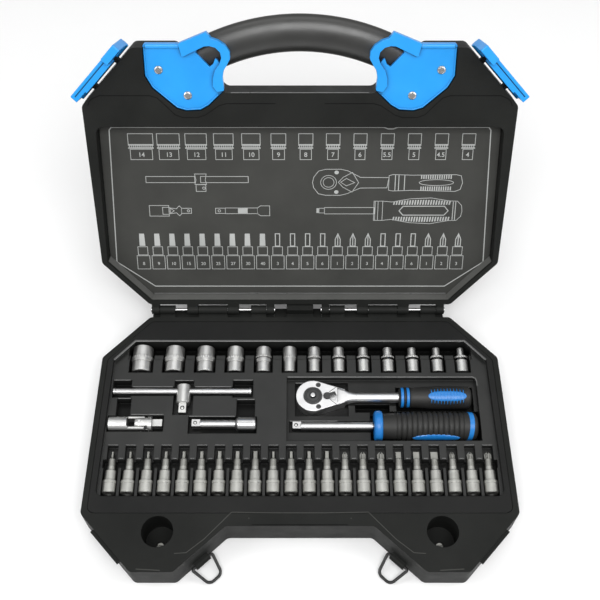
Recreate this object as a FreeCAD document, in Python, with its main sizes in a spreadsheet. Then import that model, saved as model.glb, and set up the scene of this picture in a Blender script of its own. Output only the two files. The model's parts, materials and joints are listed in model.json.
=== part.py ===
import FreeCAD, Part
import math
import os
import re
import Sketcher

# Quarter-inch-drive socket wrench set in its open carrying case. Millimetres, +Z up.
# The origin is the middle of the base's underside: X runs to the right, the lid hinge is
# at +Y and the two front feet are at -Y. The case stands open. "reach" is the distance
# from the hinge axis towards the front; in the lid, "rise" is the distance from its rim.

# ---------------------------------------------------------------- driving dimensions

SIZES = {
    # case outline, shared by the base and the lid
    "case_reach": 238.4, "back_gap": 6.5, "back_half": 136, "corner_reach": 48,
    "rear_half": 175.2, "front_half": 178, "side_reach": 191, "foot_outer_half": 134,
    "foot_inner_half": 100, "bay_half": 60, "bay_reach": 201.4, "base_depth": 33,
    "lid_depth": 25, "rim_gap": 0.4, "case_wall": 3, "corner_round": 6, "edge_bevel": 2,
    # hinge
    "hinge_rise": 2.3, "open_angle": 120, "knuckle_radius": 4, "pin_radius": 1.5,
    "pin_play": 0.05, "hinge_left": -134.5, "hinge_right": 19.7, "hinge_length": 111,
    "end_knuckle": 7, "mid_knuckle": 10, "end_barrel": 13.6, "mid_barrel": 26.2,
    "knuckle_gap": 0.4, "leaf_thick": 2.8, "pin_head": 2.4, "pin_head_length": 0.8,
    "stop_half": 12, "stop_reach": 9, "stop_gap": 0.3, "stop_depth": 14,
    "stop_inner": 3.5, "stop_top": 5,
    # foot wells and their screws
    "well_x": 114.6, "well_reach": 205.8, "well_radius": 12.9, "well_floor": 5,
    "screw_head": 3.2, "screw_head_height": 2.4, "screw_shank": 1.8, "screw_offset": 4,
    "screw_length": 3,
    # catch lug and corner latch, on the outer slants
    "lug_half": 17.5, "lug_shift": 1.8, "lug_out": 3, "lug_height": 2.7, "lug_drop": 5.7,
    "latch_half": 29.5, "latch_out": 4.4, "latch_rise": 9, "latch_barrel": 2.6,
    "latch_pin": 1.2, "latch_pin_half": 22, "latch_plate": 2.6, "latch_gap": 0.4,
    "latch_seat": 0.3, "latch_hook": 3, "latch_grip": 1, "latch_tilt": 5,
    "latch_face": 5.6, "latch_side": 1, "latch_groove": 0.9, "latch_tab": 16,
    "latch_tab_drop": 8, "ear_offset": 14.5, "ear_half": 2,
    # carrying handle, an arch of oval section
    "handle_arch": 170, "handle_reach": 76.5, "handle_half": 15, "handle_thick": 9,
    "handle_rise": 15.5, "handle_sweep": 72,
    # riveted bracket with its hook band, at each end of the handle
    "bracket_x": 91.5, "bracket_set": 17.9, "bracket_face": 2.2, "bracket_thick": 3.8,
    "bracket_fit": 0.3, "hook_face": 0.2, "flange_start": 5.5, "flange_end": 32.4,
    "flange_thick": 2, "flange_drop": 6,
    "rivet_outer_x": 22.1, "rivet_outer_y": 0.6, "rivet_inner_x": -0.3,
    "rivet_inner_y": 21.5, "rivet_head": 3.3, "rivet_head_height": 1,
    "rivet_shank": 2, "rivet_length": 10,
    # wire ring on the inner slant of each foot
    "ring_wire": 1.25, "ring_half": 10.5, "ring_nose": 6.5, "ring_reach": 18,
    "ring_out": 2.4, "ring_rise": 8.6, "ring_droop": 21, "ring_play": 0.06,
    "ring_barrel": 2.9, "ring_barrel_half": 7, "ring_shift": 1.7,
    # lid lining
    "lining_rise": 12, "lining_thick": 2, "lining_fit": 0.3, "lining_ledge": 5,
    "recess_back_half": 134, "recess_back": 10.5, "recess_rear_half": 170.3,
    "recess_corner": 49, "recess_front_half": 168.5, "recess_reach": 173,
    # tray
    "tray_skin": 2, "tray_fit": 0.3, "tray_ledge": 1.6, "tray_back_half": 134,
    "tray_back": 11, "tray_rear_half": 170.5, "tray_corner": 50,
    "tray_front_half": 173.2, "tray_reach": 190.6, "field_drop": 4.5,
    "field_back_half": 147.3, "field_back": 31.3, "field_rear_half": 165,
    "field_corner": 50.2, "field_front_half": 167.8, "field_reach": 176.2,
    # what lies in a nest clears its sides by one gap and its floor by another
    "nest_gap": 1, "seat_gap": 0.3, "finger_depth": 14,
    # square drives
    "drive_square": 6.35, "drive_play": 0.1, "drive_length": 7.3, "drive_cavity": 9,
    "drive_bore": 2.5,
    # hex sockets in the back row
    "socket_length": 25, "socket_wall": 0.8, "socket_drive": 6, "socket_collar": 0.85,
    "collar_start": 9.4, "collar_end": 12.6, "socket_bevel": 0.6, "hex_play": 0.1,
    "hex_cavity": 11, "socket_neck": 11.5, "neck_taper": 2.5, "socket_gap": 9.95,
    "row_left": -150.8, "row_front": 59, "row_axis_drop": 10, "rack_back": 42,
    "rack_step": 5.5, "rack_step_drop": 3, "rack_end_gap": 1.7, "trough_half": 153,
    "trough_back_half": 148.9, "trough_corner": 35.7,
    "hex_first": 14, "hex_second": 13, "hex_third": 12, "hex_fourth": 11,
    "hex_fifth": 10, "hex_sixth": 9, "hex_seventh": 8, "hex_eighth": 7, "hex_ninth": 6,
    "hex_tenth": 5.5, "hex_eleventh": 5, "hex_twelfth": 4.5, "hex_last": 4,
    # bit sockets in the front row
    "bit_left": -158.1, "bit_pitch": 15.07, "bit_front": 172, "bit_axis_drop": 7,
    "holder_length": 19.2, "holder_drive": 6, "holder_collar": 6.3, "holder_neck": 4.25,
    "holder_end": 27.2, "holder_collar_start": 8.2, "holder_collar_end": 11,
    "bit_length": 37, "bit_shank": 3.2, "bit_shoulder": 30, "bit_seat": 7,
    "bit_fit": 0.04, "comb_back": 130, "comb_front": 142.6, "comb_gap": 1.3,
    "rib_back": 150, "rib_thick": 2.4, "slot_front": 175, "bit_trough_half": 165.6,
    "torx_first": 1.3, "torx_step": 0.22, "key_first": 1.7, "key_step": 0.35,
    "cross_first": 2.2, "cross_step": 0.4, "blade_first": 2.2, "blade_step": 0.4,
    "blade_thick": 1.1, "cross_rib": 1.1, "tip_point": 0.9,
    # sliding T-bar
    "bar_x": -102.8, "bar_half": 60.2, "bar_radius": 3, "bar_reach": 79.1,
    "bar_drop": 5, "bar_head_x": -101.6, "bar_head_radius": 6.1, "bar_head_back": 5.5,
    "bar_head_front": 12.4, "bar_square": 9, "bar_play": 0.06, "bar_stop": 3.4,
    "bar_stop_length": 1.8, "bar_pocket_half": 8.6,
    # universal joint and extension bar, which lie in one line
    "link_reach": 109.7, "link_drop": 6, "uj_left": -163.9, "uj_radius": 6.5,
    "uj_socket": 15.5, "uj_arm": 11, "uj_ear": 4, "uj_cheek": 2.6, "uj_pin": 1.4,
    "uj_crotch": 8, "uj_root": 2.4, "uj_square": 8.8, "uj_play": 0.05,
    "uj_side_gap": 0.3, "ext_left": -93.3, "ext_length": 55.2, "ext_radius": 3.75,
    "ext_socket": 15.2, "ext_socket_radius": 6.25, "ext_taper": 2.5,
    # ratchet
    "ratchet_x": 11.2, "ratchet_reach": 84.3, "ratchet_drop": 6.5, "ratchet_head": 14.5,
    "ratchet_top": 4, "ratchet_bottom": 7, "neck_x": 28, "neck_half": 6,
    "shoulder_x": 5, "shoulder_half": 13.6, "ratchet_shaft": 4.5, "ratchet_tang": 3,
    "tang_length": 50, "grip_start": 74.8, "grip_length": 63, "grip_radius": 10,
    "grip_round": 2.5, "gear_radius": 7.7, "gear_rise": 0.8, "gear_play": 0.06,
    "drive_drop": 8.5, "button_radius": 2.4, "button_rise": 1.6, "button_depth": 4,
    "button_travel": 1.5, "lever_x": 12.4, "lever_hub": 3, "lever_arm": 7.5,
    "lever_half": 1.4, "lever_rise": 1, "lever_turn": 20, "lever_pocket": 2.2,
    "lever_gap": 0.3, "lever_pin": 1.3, "lever_pin_length": 2.6, "cover_screw": 1.7,
    "cover_screw_x": 4.8, "cover_screw_side": 10.4, "cover_screw_depth": 3.5,
    "band_width": 3, "band_first": 1.2, "band_second": 6.2, "band_depth": 1,
    "band_proud": 0.25, "inlay_centre": 42.5, "inlay_half": 17, "inlay_side": 4.8,
    "inlay_floor": 8,
    # spinner handle
    "spinner_left": -6.8, "spinner_reach": 110.4, "spinner_drop": 9,
    "spinner_shaft": 3.75, "spinner_stem": 69.5, "spinner_tang": 2.9,
    "spinner_tang_length": 30, "spinner_collar": 13.5, "spinner_collar_length": 8.1,
    "spinner_grip": 12.5, "spinner_grip_length": 76.6, "spinner_cap": 11,
    "spinner_cap_length": 5.4, "cap_round": 2, "badge_centre": 45, "badge_half": 20,
    "badge_side": 5.5, "badge_floor": 10.5,
    # finger hollows of the tray
    "finger_a": -147.6, "finger_b": -59, "finger_c": -41, "finger_d": -159,
    "finger_e": -55, "finger_f": -39, "finger_g": 48, "finger_h": 78,
    "finger_top": 68.2, "finger_mid": 86,
    # right-hand recess of the tray
    "bay_left": -11.5, "bay_right": 155, "bay_back": 65.6, "bay_front": 125.6,
    "bay_drop": 10,
}

# Corners of the bracket's outlines about its middle: x outwards, y towards the hinge.
OUTLINES = {
    "plate": [(4.5, -20.1), (33.4, -20.1), (33.4, 5), (28, 15), (9, 31.9), (1.5, 34.1),
              (-10.5, 33.5), (-17.5, 29.5), (-30, 17.3), (-29, 6.5), (-30.5, 0.5),
              (-25.5, -7.5), (-7.5, -15.5)],
    "hook": [(5.2, -20.7), (-17.4, -29.9), (-21.2, -24.8), (-26.7, -23), (-32.3, -19.2),
             (-35.6, -14), (-35.7, -8.6), (-33, -3.6), (-30.1, 1), (-29.2, 7),
             (-29.8, 12.3), (-30, 17), (-24.5, 18.2), (-21, 13.4), (-21.3, 7.1),
             (-23.1, 0.9), (-27, -4.4), (-28.8, -9.4), (-27.9, -14), (-24.2, -17.6),
             (-19.7, -18.9), (-15.2, -18.5), (2.6, -10)],
    "eye": [(-7.8, -13.8), (-19, -1.8), (-22, -4), (-25, -12), (-22.5, -16), (-19.5, -17.5),
            (-15.5, -17)],
}
for kind, corners in OUTLINES.items():
    for number, (across, along) in enumerate(corners):
        SIZES[f"{kind}_{number}_x"] = across
        SIZES[f"{kind}_{number}_y"] = along

# Names for positions that follow from the sizes.
DERIVED = {
    "hinge_y": "(case_reach / 2)",
    "axis_z": "(base_depth + hinge_rise)",
    "lid_rim": "(rim_gap - hinge_rise)",
    "field": "(base_depth - field_drop)",
    "row_axis": "(base_depth - row_axis_drop)",
    "bit_axis": "(base_depth - bit_axis_drop)",
    "bar_axis": "(base_depth - bar_drop)",
    "link_axis": "(base_depth - link_drop)",
    "ratchet_axis": "(base_depth - ratchet_drop)",
    "spinner_axis": "(base_depth - spinner_drop)",
    "finger_floor": "(base_depth - finger_depth)",
    "square_half": "(drive_square / 2)",
    "square_radius": "(drive_square / sqrt(2))",
    "cavity_radius": "((drive_square + drive_play) / sqrt(2))",
    "latch_axis": "(lid_rim + latch_rise)",
}

doc = FreeCAD.newDocument("SocketWrenchSet")
sheet = doc.addObject("Spreadsheet::Sheet", "Sizes")
for row, (size_name, size_value) in enumerate(SIZES.items(), start=1):
    sheet.set(f"A{row}", size_name)
    sheet.set(f"B{row}", str(size_value))
    sheet.setAlias(f"B{row}", size_name)
doc.recompute()

WORD = re.compile(r"[A-Za-z_][A-Za-z_0-9]*")
NODES = []


# ---------------------------------------------------------------- formulas and helpers

def formula(text):
    """Spell out the derived names, then point every size name at its cell."""
    text = str(text)
    while any(word in DERIVED for word in WORD.findall(text)):
        text = WORD.sub(lambda found: DERIVED.get(found.group(0), found.group(0)), text)
    return WORD.sub(lambda found: "Sizes." + found.group(0) if found.group(0) in SIZES
                    else found.group(0), text)


def bind(item, prop, text):
    item.setExpression(prop, formula(text))


def move(x, y, z):
    return f"placement(vector({x}; {y}; {z}); rotation(vector(0; 0; 1); 0))"


def turn(axis, angle):
    return f"placement(vector(0; 0; 0); rotation(vector({axis}); {angle}))"


def place(item, *steps):
    bind(item, "Placement", " * ".join(steps))
    return item


ALONG = {"x": turn("0; 1; 0", 90), "y": turn("1; 0; 0", -90), "z": turn("0; 0; 1", 0)}
BASE = move(0, "hinge_y", 0)
LID = move(0, "hinge_y", "axis_z") + " * " + turn("-1; 0; 0", "open_angle")


def box(name, x_span, y_span, z_span):
    item = doc.addObject("Part::Box", name)
    for prop, (low, high) in zip(("Length", "Width", "Height"), (x_span, y_span, z_span)):
        bind(item, prop, f"({high}) - ({low})")
    return place(item, move(x_span[0], y_span[0], z_span[0]))


def rod(name, radius, start, length, along="z"):
    item = doc.addObject("Part::Cylinder", name)
    bind(item, "Radius", radius)
    bind(item, "Height", length)
    return place(item, move(*start), ALONG[along])


def prism(name, sides, radius, start, length, along="z", spin=0):
    """A regular prism; the radius reaches its corners."""
    item = doc.addObject("Part::Prism", name)
    item.Polygon = sides
    bind(item, "Circumradius", radius)
    bind(item, "Height", length)
    return place(item, move(*start), ALONG[along], turn("0; 0; 1", spin))


def square(name, radius, start, length, along="z"):
    return prism(name, 4, radius, start, length, along, spin=45)


def ball(name, radius, centre):
    item = doc.addObject("Part::Sphere", name)
    bind(item, "Radius", radius)
    return place(item, move(*centre))


def fuse(name, parts):
    item = doc.addObject("Part::MultiFuse", name)
    item.Shapes = parts
    return item


def cut(name, base, *tools):
    item = doc.addObject("Part::Cut", name)
    item.Base = base
    item.Tool = tools[0] if len(tools) == 1 else fuse(name + "_tools", list(tools))
    return item


def common(name, first, second):
    item = doc.addObject("Part::Common", name)
    item.Base = first
    item.Tool = second
    return item


def group(name, parts):
    item = doc.addObject("Part::Compound", name)
    item.Links = parts
    return item


def mirrored(name, source):
    """The same piece on the other side of the YZ plane."""
    item = doc.addObject("Part::Mirroring", name)
    item.Source = source
    item.Normal = (1, 0, 0)
    return item


def pair(name, source):
    return fuse(name, [source, mirrored(name + "_twin", source)])


def node(item, *steps):
    """Finish one piece of the model: its label names its file."""
    item.Label = item.Name
    if steps:
        place(item, *steps)
    NODES.append(item)
    return item


def new_sketch(body, name, role, points):
    """A closed outline; both coordinates of every corner are bound to formulas."""
    sketch = body.newObject("Sketcher::SketchObject", name)
    plane = [item for item in body.Origin.OriginFeatures if item.Role == role][0]
    sketch.AttachmentSupport = (plane, [""])
    sketch.MapMode = "FlatFace"
    count = len(points)
    corners = [FreeCAD.Vector(10 * math.cos(index * math.tau / count),
                              10 * math.sin(index * math.tau / count), 0)
               for index in range(count)]
    for index in range(count):
        sketch.addGeometry(Part.LineSegment(corners[index], corners[(index + 1) % count]),
                           False)
    for index in range(count):
        sketch.addConstraint(Sketcher.Constraint("Coincident", index, 2,
                                                 (index + 1) % count, 1))
    for index, (across, along) in enumerate(points):
        for kind, start, text in (("DistanceX", corners[index].x, across),
                                  ("DistanceY", corners[index].y, along)):
            number = sketch.addConstraint(
                Sketcher.Constraint(kind, -1, 1, index, 1, start))
            bind(sketch, f"Constraints[{number}]", text)
    return sketch


def slab(name, points, low, high, rounding=None, bevel=None):
    """An outline in the XY plane padded between two heights, its upright edges rounded
    and the edges of one end face bevelled where that is asked for."""
    body = doc.addObject("PartDesign::Body", name)
    sketch = new_sketch(body, name + "_outline", "XY_Plane", points)
    bind(sketch, "AttachmentOffset.Base.z", low)
    last = body.newObject("PartDesign::Pad", name + "_pad")
    last.Profile = sketch
    bind(last, "Length", f"({high}) - ({low})")
    if rounding is not None:
        doc.recompute()
        upright = [f"Edge{index}" for index, edge in enumerate(last.Shape.Edges, start=1)
                   if abs(edge.tangentAt(edge.FirstParameter).z) > 0.99]
        fillet = body.newObject("PartDesign::Fillet", name + "_round")
        fillet.Base = (last, upright)
        bind(fillet, "Radius", rounding)
        last = fillet
    if bevel is not None:
        doc.recompute()
        size, end = bevel
        level = last.Shape.BoundBox.ZMin if end == "low" else last.Shape.BoundBox.ZMax
        faces = [f"Face{index}" for index, face in enumerate(last.Shape.Faces, start=1)
                 if abs(face.CenterOfMass.z - level) < 0.01]
        chamfer = body.newObject("PartDesign::Chamfer", name + "_bevel")
        chamfer.Base = (last, faces)
        bind(chamfer, "Size", size)
        last = chamfer
    body.Tip = last
    return body


def turned(name, stations):
    """A solid of revolution about Z, from (height, radius) stations."""
    body = doc.addObject("PartDesign::Body", name)
    points = [("0", stations[0][0])]
    points += [(radius, height) for height, radius in stations]
    points += [("0", stations[-1][0])]
    sketch = new_sketch(body, name + "_profile", "XZ_Plane", points)
    spun = body.newObject("PartDesign::Revolution", name + "_turned")
    spun.Profile = sketch
    spun.ReferenceAxis = (sketch, ["V_Axis"])
    spun.Angle = 360
    body.Tip = spun
    return body


def both_sides(points):
    """Close a right-hand outline with its mirror image."""
    return points + [(f"-({x})", y) for x, y in reversed(points)]


def case_outline():
    return both_sides([
        ("back_half", "-back_gap"), ("rear_half", "-corner_reach"),
        ("front_half", "-side_reach"), ("foot_outer_half", "-case_reach"),
        ("foot_inner_half", "-case_reach"), ("bay_half", "-bay_reach")])


def six_corners(prefix, grow):
    """The tray, its field and the lid recess share one kind of outline."""
    return both_sides([
        (f"{prefix}_back_half + 0.4 * ({grow})", f"-({prefix}_back - ({grow}))"),
        (f"{prefix}_rear_half + ({grow})", f"-({prefix}_corner - 0.4 * ({grow}))"),
        (f"{prefix}_front_half + ({grow})", f"-({prefix}_reach + ({grow}))")])


# Frames on the slants of a foot: x runs along the slant, y points out of the case.
OUTER_RUN = "(front_half - foot_outer_half)"
OUTER_RISE = "(case_reach - side_reach)"
OUTER = (move(f"front_half - {OUTER_RUN} / 2", f"-(side_reach + {OUTER_RISE} / 2)", 0)
         + " * " + turn("0; 0; 1", f"180 deg + atan2({OUTER_RISE}; {OUTER_RUN})"))
INNER_RUN = "(foot_inner_half - bay_half)"
INNER_RISE = "(case_reach - bay_reach)"
INNER = (move(f"bay_half + {INNER_RUN} / 2", f"-(bay_reach + {INNER_RISE} / 2)", 0)
         + " * " + turn("0; 0; 1", f"180 deg - atan2({INNER_RISE}; {INNER_RUN})"))


# ---------------------------------------------------------------- case

HINGE_SIDES = (("left", "hinge_left"), ("right", "hinge_right"))
MID_START = "((hinge_length - mid_barrel) / 2)"


def knuckles(name, spans, leaf_y, leaf_z):
    """Hinge knuckles about the X axis, each with the leaf that joins it to its wall."""
    parts = []
    for side, start in HINGE_SIDES:
        for index, (low, length) in enumerate(spans):
            part = f"{name}_{side}_{index}"
            first = f"{start} + {low}"
            parts.append(rod(part, "knuckle_radius", (first, 0, 0), length, "x"))
            parts.append(box(part + "_leaf", (first, f"{first} + {length}"), leaf_y,
                             leaf_z))
    return fuse(name, parts)


def hinge_bore(name):
    radius = "pin_radius + pin_play"
    return fuse(name, [rod(f"{name}_{side}", radius, (f"{start} - 1", 0, 0),
                           "hinge_length + 2", "x") for side, start in HINGE_SIDES])


def base_knuckles():
    first = "(end_knuckle + knuckle_gap)"
    spans = [(first, "end_barrel"), (MID_START, "mid_barrel"),
             (f"hinge_length - {first} - end_barrel", "end_barrel")]
    return place(knuckles("base_knuckles", spans, ("-back_gap - 0.5", "1"),
                          ("-hinge_rise - leaf_thick", "-hinge_rise")),
                 move(0, 0, "axis_z"))


def lid_knuckles():
    beside = "(knuckle_gap + mid_knuckle)"
    spans = [("0", "end_knuckle"), (f"{MID_START} - {beside}", "mid_knuckle"),
             (f"{MID_START} + mid_barrel + knuckle_gap", "mid_knuckle"),
             ("hinge_length - end_knuckle", "end_knuckle")]
    return knuckles("lid_knuckles", spans, ("-back_gap - 0.5", "0"),
                    ("lid_rim", "knuckle_radius"))


def lid_stop():
    """A block behind the base whose sloping top carries the open lid's back wall."""
    foot = box("stop_foot", ("-stop_half", "stop_half"), ("-back_gap", "stop_reach"),
               ("-stop_depth", "-hinge_rise"))
    nose = box("stop_nose", ("-stop_half", "stop_half"), ("-stop_inner", "stop_reach"),
               ("-hinge_rise", "stop_top"))
    over = place(box("stop_over", ("-stop_half - 1", "stop_half + 1"),
                     ("-stop_depth * 2", "-back_gap + stop_gap"),
                     ("-stop_depth * 2", "stop_depth * 2")),
                 turn("-1; 0; 0", "open_angle"),
                 move("-stop_half - 1", "-stop_depth * 2", "-stop_depth * 2"))
    return place(cut("lid_stop", fuse("stop_block", [foot, nose]), over),
                 move(0, 0, "axis_z"))


def foot_core():
    """Hollow under each foot, around the tube of its well."""
    core = slab("foot_core", [
        ("front_half - 2.3 * case_wall", "-(side_reach + case_wall)"),
        ("foot_outer_half - 0.44 * case_wall", "-(case_reach - case_wall)"),
        ("foot_inner_half + 0.39 * case_wall", "-(case_reach - case_wall)"),
        ("bay_half + 2.55 * case_wall", "-(bay_reach + case_wall)"),
        ("bay_half + 2.55 * case_wall", "-(side_reach + case_wall)")],
        "-1", "base_depth - case_wall", rounding="case_wall")
    tube = rod("well_tube", "well_radius + case_wall", ("well_x", "-well_reach", "-2"),
               "base_depth + 4")
    return pair("foot_cores", cut("foot_hollow", core, tube))


def foot_wells():
    well = rod("foot_well", "well_radius", ("well_x", "-well_reach", "well_floor"),
               "base_depth")
    bore = rod("screw_bore", "screw_shank + pin_play",
               ("well_x", "-(well_reach + screw_offset)", "well_floor - screw_length"),
               "screw_length + 1")
    return pair("foot_wells", fuse("foot_well_cut", [well, bore]))


def catch_lugs():
    lug = place(box("catch_lug", ("-lug_half", "lug_half"), ("-1", "lug_out"),
                    (0, "lug_height")),
                OUTER, move("lug_shift - lug_half", "-1", "base_depth - lug_drop"))
    return pair("catch_lugs", lug)


def ring_lugs():
    span = "2 * ring_barrel_half"
    barrel = rod("ring_barrel_round", "ring_barrel", (0, 0, 0), span, "x")
    block = box("ring_barrel_block", (0, span), ("-ring_out - 0.5", 0),
                ("-ring_barrel", "ring_barrel"))
    lug = place(fuse("ring_lug", [barrel, block]), INNER,
                move("-ring_shift - ring_barrel_half", "ring_out", "ring_rise"))
    bore = place(rod("ring_bore", "ring_wire + ring_play", (0, 0, 0), f"{span} + 2", "x"),
                 INNER, move("-ring_shift - ring_barrel_half - 1", "ring_out",
                             "ring_rise"), ALONG["x"])
    return pair("ring_lugs", lug), pair("ring_bores", bore)


def make_base():
    body = slab("base_block", case_outline(), "0", "base_depth", "corner_round",
                ("edge_bevel", "low"))
    lugs, lug_bores = ring_lugs()
    solid = fuse("base_solid", [body, base_knuckles(), lid_stop(), catch_lugs(), lugs])
    recess = slab("tray_recess", six_corners("tray", "0"), "base_depth - tray_skin",
                  "base_depth + 1", "corner_round")
    hold = slab("base_hold", six_corners("tray", "-tray_ledge"), "case_wall",
                "base_depth", "corner_round")
    bores = place(hinge_bore("base_bore"), move(0, 0, "axis_z"))
    node(cut("base_shell", solid, recess, hold, foot_core(), foot_wells(), bores,
             lug_bores), BASE)


def make_tray_screws():
    screws = []
    for side, sign in (("left", "-"), ("right", "")):
        turned_screw = turned(f"tray_screw_{side}", [
            ("-screw_length", "screw_shank - 0.3"), ("0.3 - screw_length", "screw_shank"),
            ("0", "screw_shank"), ("0", "screw_head"),
            ("screw_head_height - 0.6", "screw_head"),
            ("screw_head_height", "screw_head - 0.6")])
        slot = box(f"tray_screw_slot_{side}", ("-screw_head", "screw_head"),
                   ("-0.5", "0.5"), ("screw_head_height - 1", "screw_head_height + 1"))
        screws.append(place(cut(f"tray_screw_cut_{side}", turned_screw, slot),
                            move(f"{sign}well_x", "-(well_reach + screw_offset)",
                                 "well_floor")))
    node(group("tray_screws", screws), BASE)


def make_hinge_pins():
    for side, start in HINGE_SIDES:
        node(turned(f"hinge_pin_{side}", [
            ("-pin_head_length", "pin_head"), ("0", "pin_head"), ("0", "pin_radius"),
            ("hinge_length", "pin_radius"), ("hinge_length", "pin_head"),
            ("hinge_length + pin_head_length", "pin_head")]),
            BASE, move(start, 0, "axis_z"), ALONG["x"])


BRACKET = move("bracket_x", "-(case_reach - bracket_set)", "lid_rim")
RIVETS = ("outer", "inner")


def bracket_corners(kind, grow="0"):
    """An outline of the bracket, each corner pushed outwards along its mitre."""
    listed = OUTLINES[kind]
    points = []
    for number, corner in enumerate(listed):
        here = FreeCAD.Vector(*corner, 0)
        before = (here - FreeCAD.Vector(*listed[number - 1], 0)).normalize()
        after = (FreeCAD.Vector(*listed[(number + 1) % len(listed)], 0) - here).normalize()
        mitre = FreeCAD.Vector(before.y + after.y, -before.x - after.x, 0).normalize()
        share = 1 / mitre.dot(FreeCAD.Vector(before.y, -before.x, 0))
        points.append((f"{kind}_{number}_x + {mitre.x * share:.3f} * ({grow})",
                       f"{kind}_{number}_y + {mitre.y * share:.3f} * ({grow})"))
    return points


def bracket_slab(name, kind, low, high, grow="0", rounding=None):
    return place(slab(name, bracket_corners(kind, grow), low, high, rounding), BRACKET)


def bracket_rods(name, radius, low, length):
    return [place(rod(f"{name}_{where}", radius, (0, 0, 0), length), BRACKET,
                  move(f"rivet_{where}_x", f"rivet_{where}_y", low)) for where in RIVETS]


def make_bracket():
    """A plate in a pocket of the lid, with a raised hook band and a folded flange."""
    high = "bracket_face + bracket_thick"
    plate = bracket_slab("bracket_plate", "plate", "bracket_face", high, rounding="1.5")
    band = bracket_slab("hook_band", "hook", "hook_face", high, rounding="1")
    eye = bracket_slab("bracket_eye", "eye", "-1", f"{high} + 1", rounding="0.8")
    flange = place(box("bracket_flange", ("flange_start", "flange_end"),
                       (0, "flange_thick"), ("bracket_face", "bracket_face + flange_drop")),
                   BRACKET, move("flange_start", "-(bracket_set + flange_thick + 0.2)",
                                 "bracket_face"))
    right = node(cut("handle_bracket_right", fuse("bracket_metal", [plate, band, flange]),
                     eye, *bracket_rods("bracket_hole", "rivet_shank + pin_play", "0",
                                        "lid_depth")), LID)
    node(mirrored("handle_bracket_left", right))


def make_rivets():
    rivets = []
    for where in RIVETS:
        rivets.append(place(turned(f"rivet_{where}", [
            ("-rivet_head_height", "rivet_head - 1"), ("-0.4", "rivet_head"),
            ("0", "rivet_head"), ("0", "rivet_shank"), ("rivet_length", "rivet_shank")]),
            BRACKET, move(f"rivet_{where}_x", f"rivet_{where}_y", "bracket_face")))
    side = group("rivets_right", rivets)
    node(group("bracket_rivets", [side, mirrored("rivets_left", side)]), LID)


def rivet_bores():
    return pair("rivet_bores", fuse("rivet_bore_side", bracket_rods(
        "rivet_bore", "rivet_shank + pin_play", "0", "bracket_face + rivet_length")))


def latch_ears():
    """Two ears on the lid for each corner latch, bored for its pin."""
    ears = []
    for index, sign in enumerate(("-", "")):
        middle = f"{sign}ear_offset"
        ears.append(rod(f"latch_ear_{index}", "latch_barrel",
                        (f"{middle} - ear_half", 0, 0), "2 * ear_half", "x"))
        ears.append(box(f"latch_ear_root_{index}",
                        (f"{middle} - ear_half", f"{middle} + ear_half"),
                        ("-latch_out - 0.5", 0), ("-latch_barrel", "latch_barrel")))
    side = place(fuse("latch_ear_side", ears), OUTER, move(0, "latch_out", "latch_axis"))
    bore = place(rod("latch_bore", "latch_pin + pin_play", (0, 0, 0),
                     "2 * latch_pin_half", "x"),
                 OUTER, move("-latch_pin_half", "latch_out", "latch_axis"), ALONG["x"])
    return pair("latch_ears", side), pair("latch_bores", bore)


def make_lid():
    top = "lid_rim + lid_depth"
    under = "lid_rim + lining_rise + lining_thick"
    body = slab("lid_block", case_outline(), "lid_rim", top, "corner_round",
                ("edge_bevel", "high"))
    ears, ear_bores = latch_ears()
    solid = fuse("lid_solid", [body, lid_knuckles(), ears])
    recess = slab("lid_recess", six_corners("recess", "0"), "lid_rim - 1", under,
                  "corner_round")
    hold = slab("lid_hold", six_corners("recess", "-lining_ledge"), "lid_rim",
                f"{top} - case_wall", "corner_round")
    pocket = bracket_slab("bracket_pocket", "plate", "-1", "bracket_face + bracket_thick",
                          "bracket_fit")
    node(cut("lid_shell", solid, recess, hold, pair("bracket_pockets", pocket),
             rivet_bores(), hinge_bore("lid_bore"), ear_bores), LID)


def make_lid_panel():
    low = "lid_rim + lining_rise"
    node(slab("lid_panel", six_corners("recess", "-lining_fit"), low,
              f"{low} + lining_thick", "corner_round"), LID)


def make_handle():
    """An oval bar swept round a flat arch and trimmed where it meets the feet."""
    oval = doc.addObject("Part::Ellipse", "handle_oval")
    bind(oval, "MajorRadius", "handle_half")
    bind(oval, "MinorRadius", "handle_thick")
    place(oval, move(0, "-handle_arch", 0), turn("1; 1; 1", 120))
    arch = doc.addObject("Part::Revolution", "handle_arch_bar")
    arch.Source = oval
    arch.Axis = (0, 0, 1)
    arch.Solid = True
    arch.Symmetric = True
    bind(arch, "Angle", "handle_sweep")
    place(arch, move(0, "-handle_reach", "lid_rim + handle_rise"))
    trim = slab("handle_trim", case_outline(), "lid_rim - 5", "lid_rim + lid_depth + 5",
                "corner_round")
    node(cut("carry_handle", arch, trim), LID)


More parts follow.
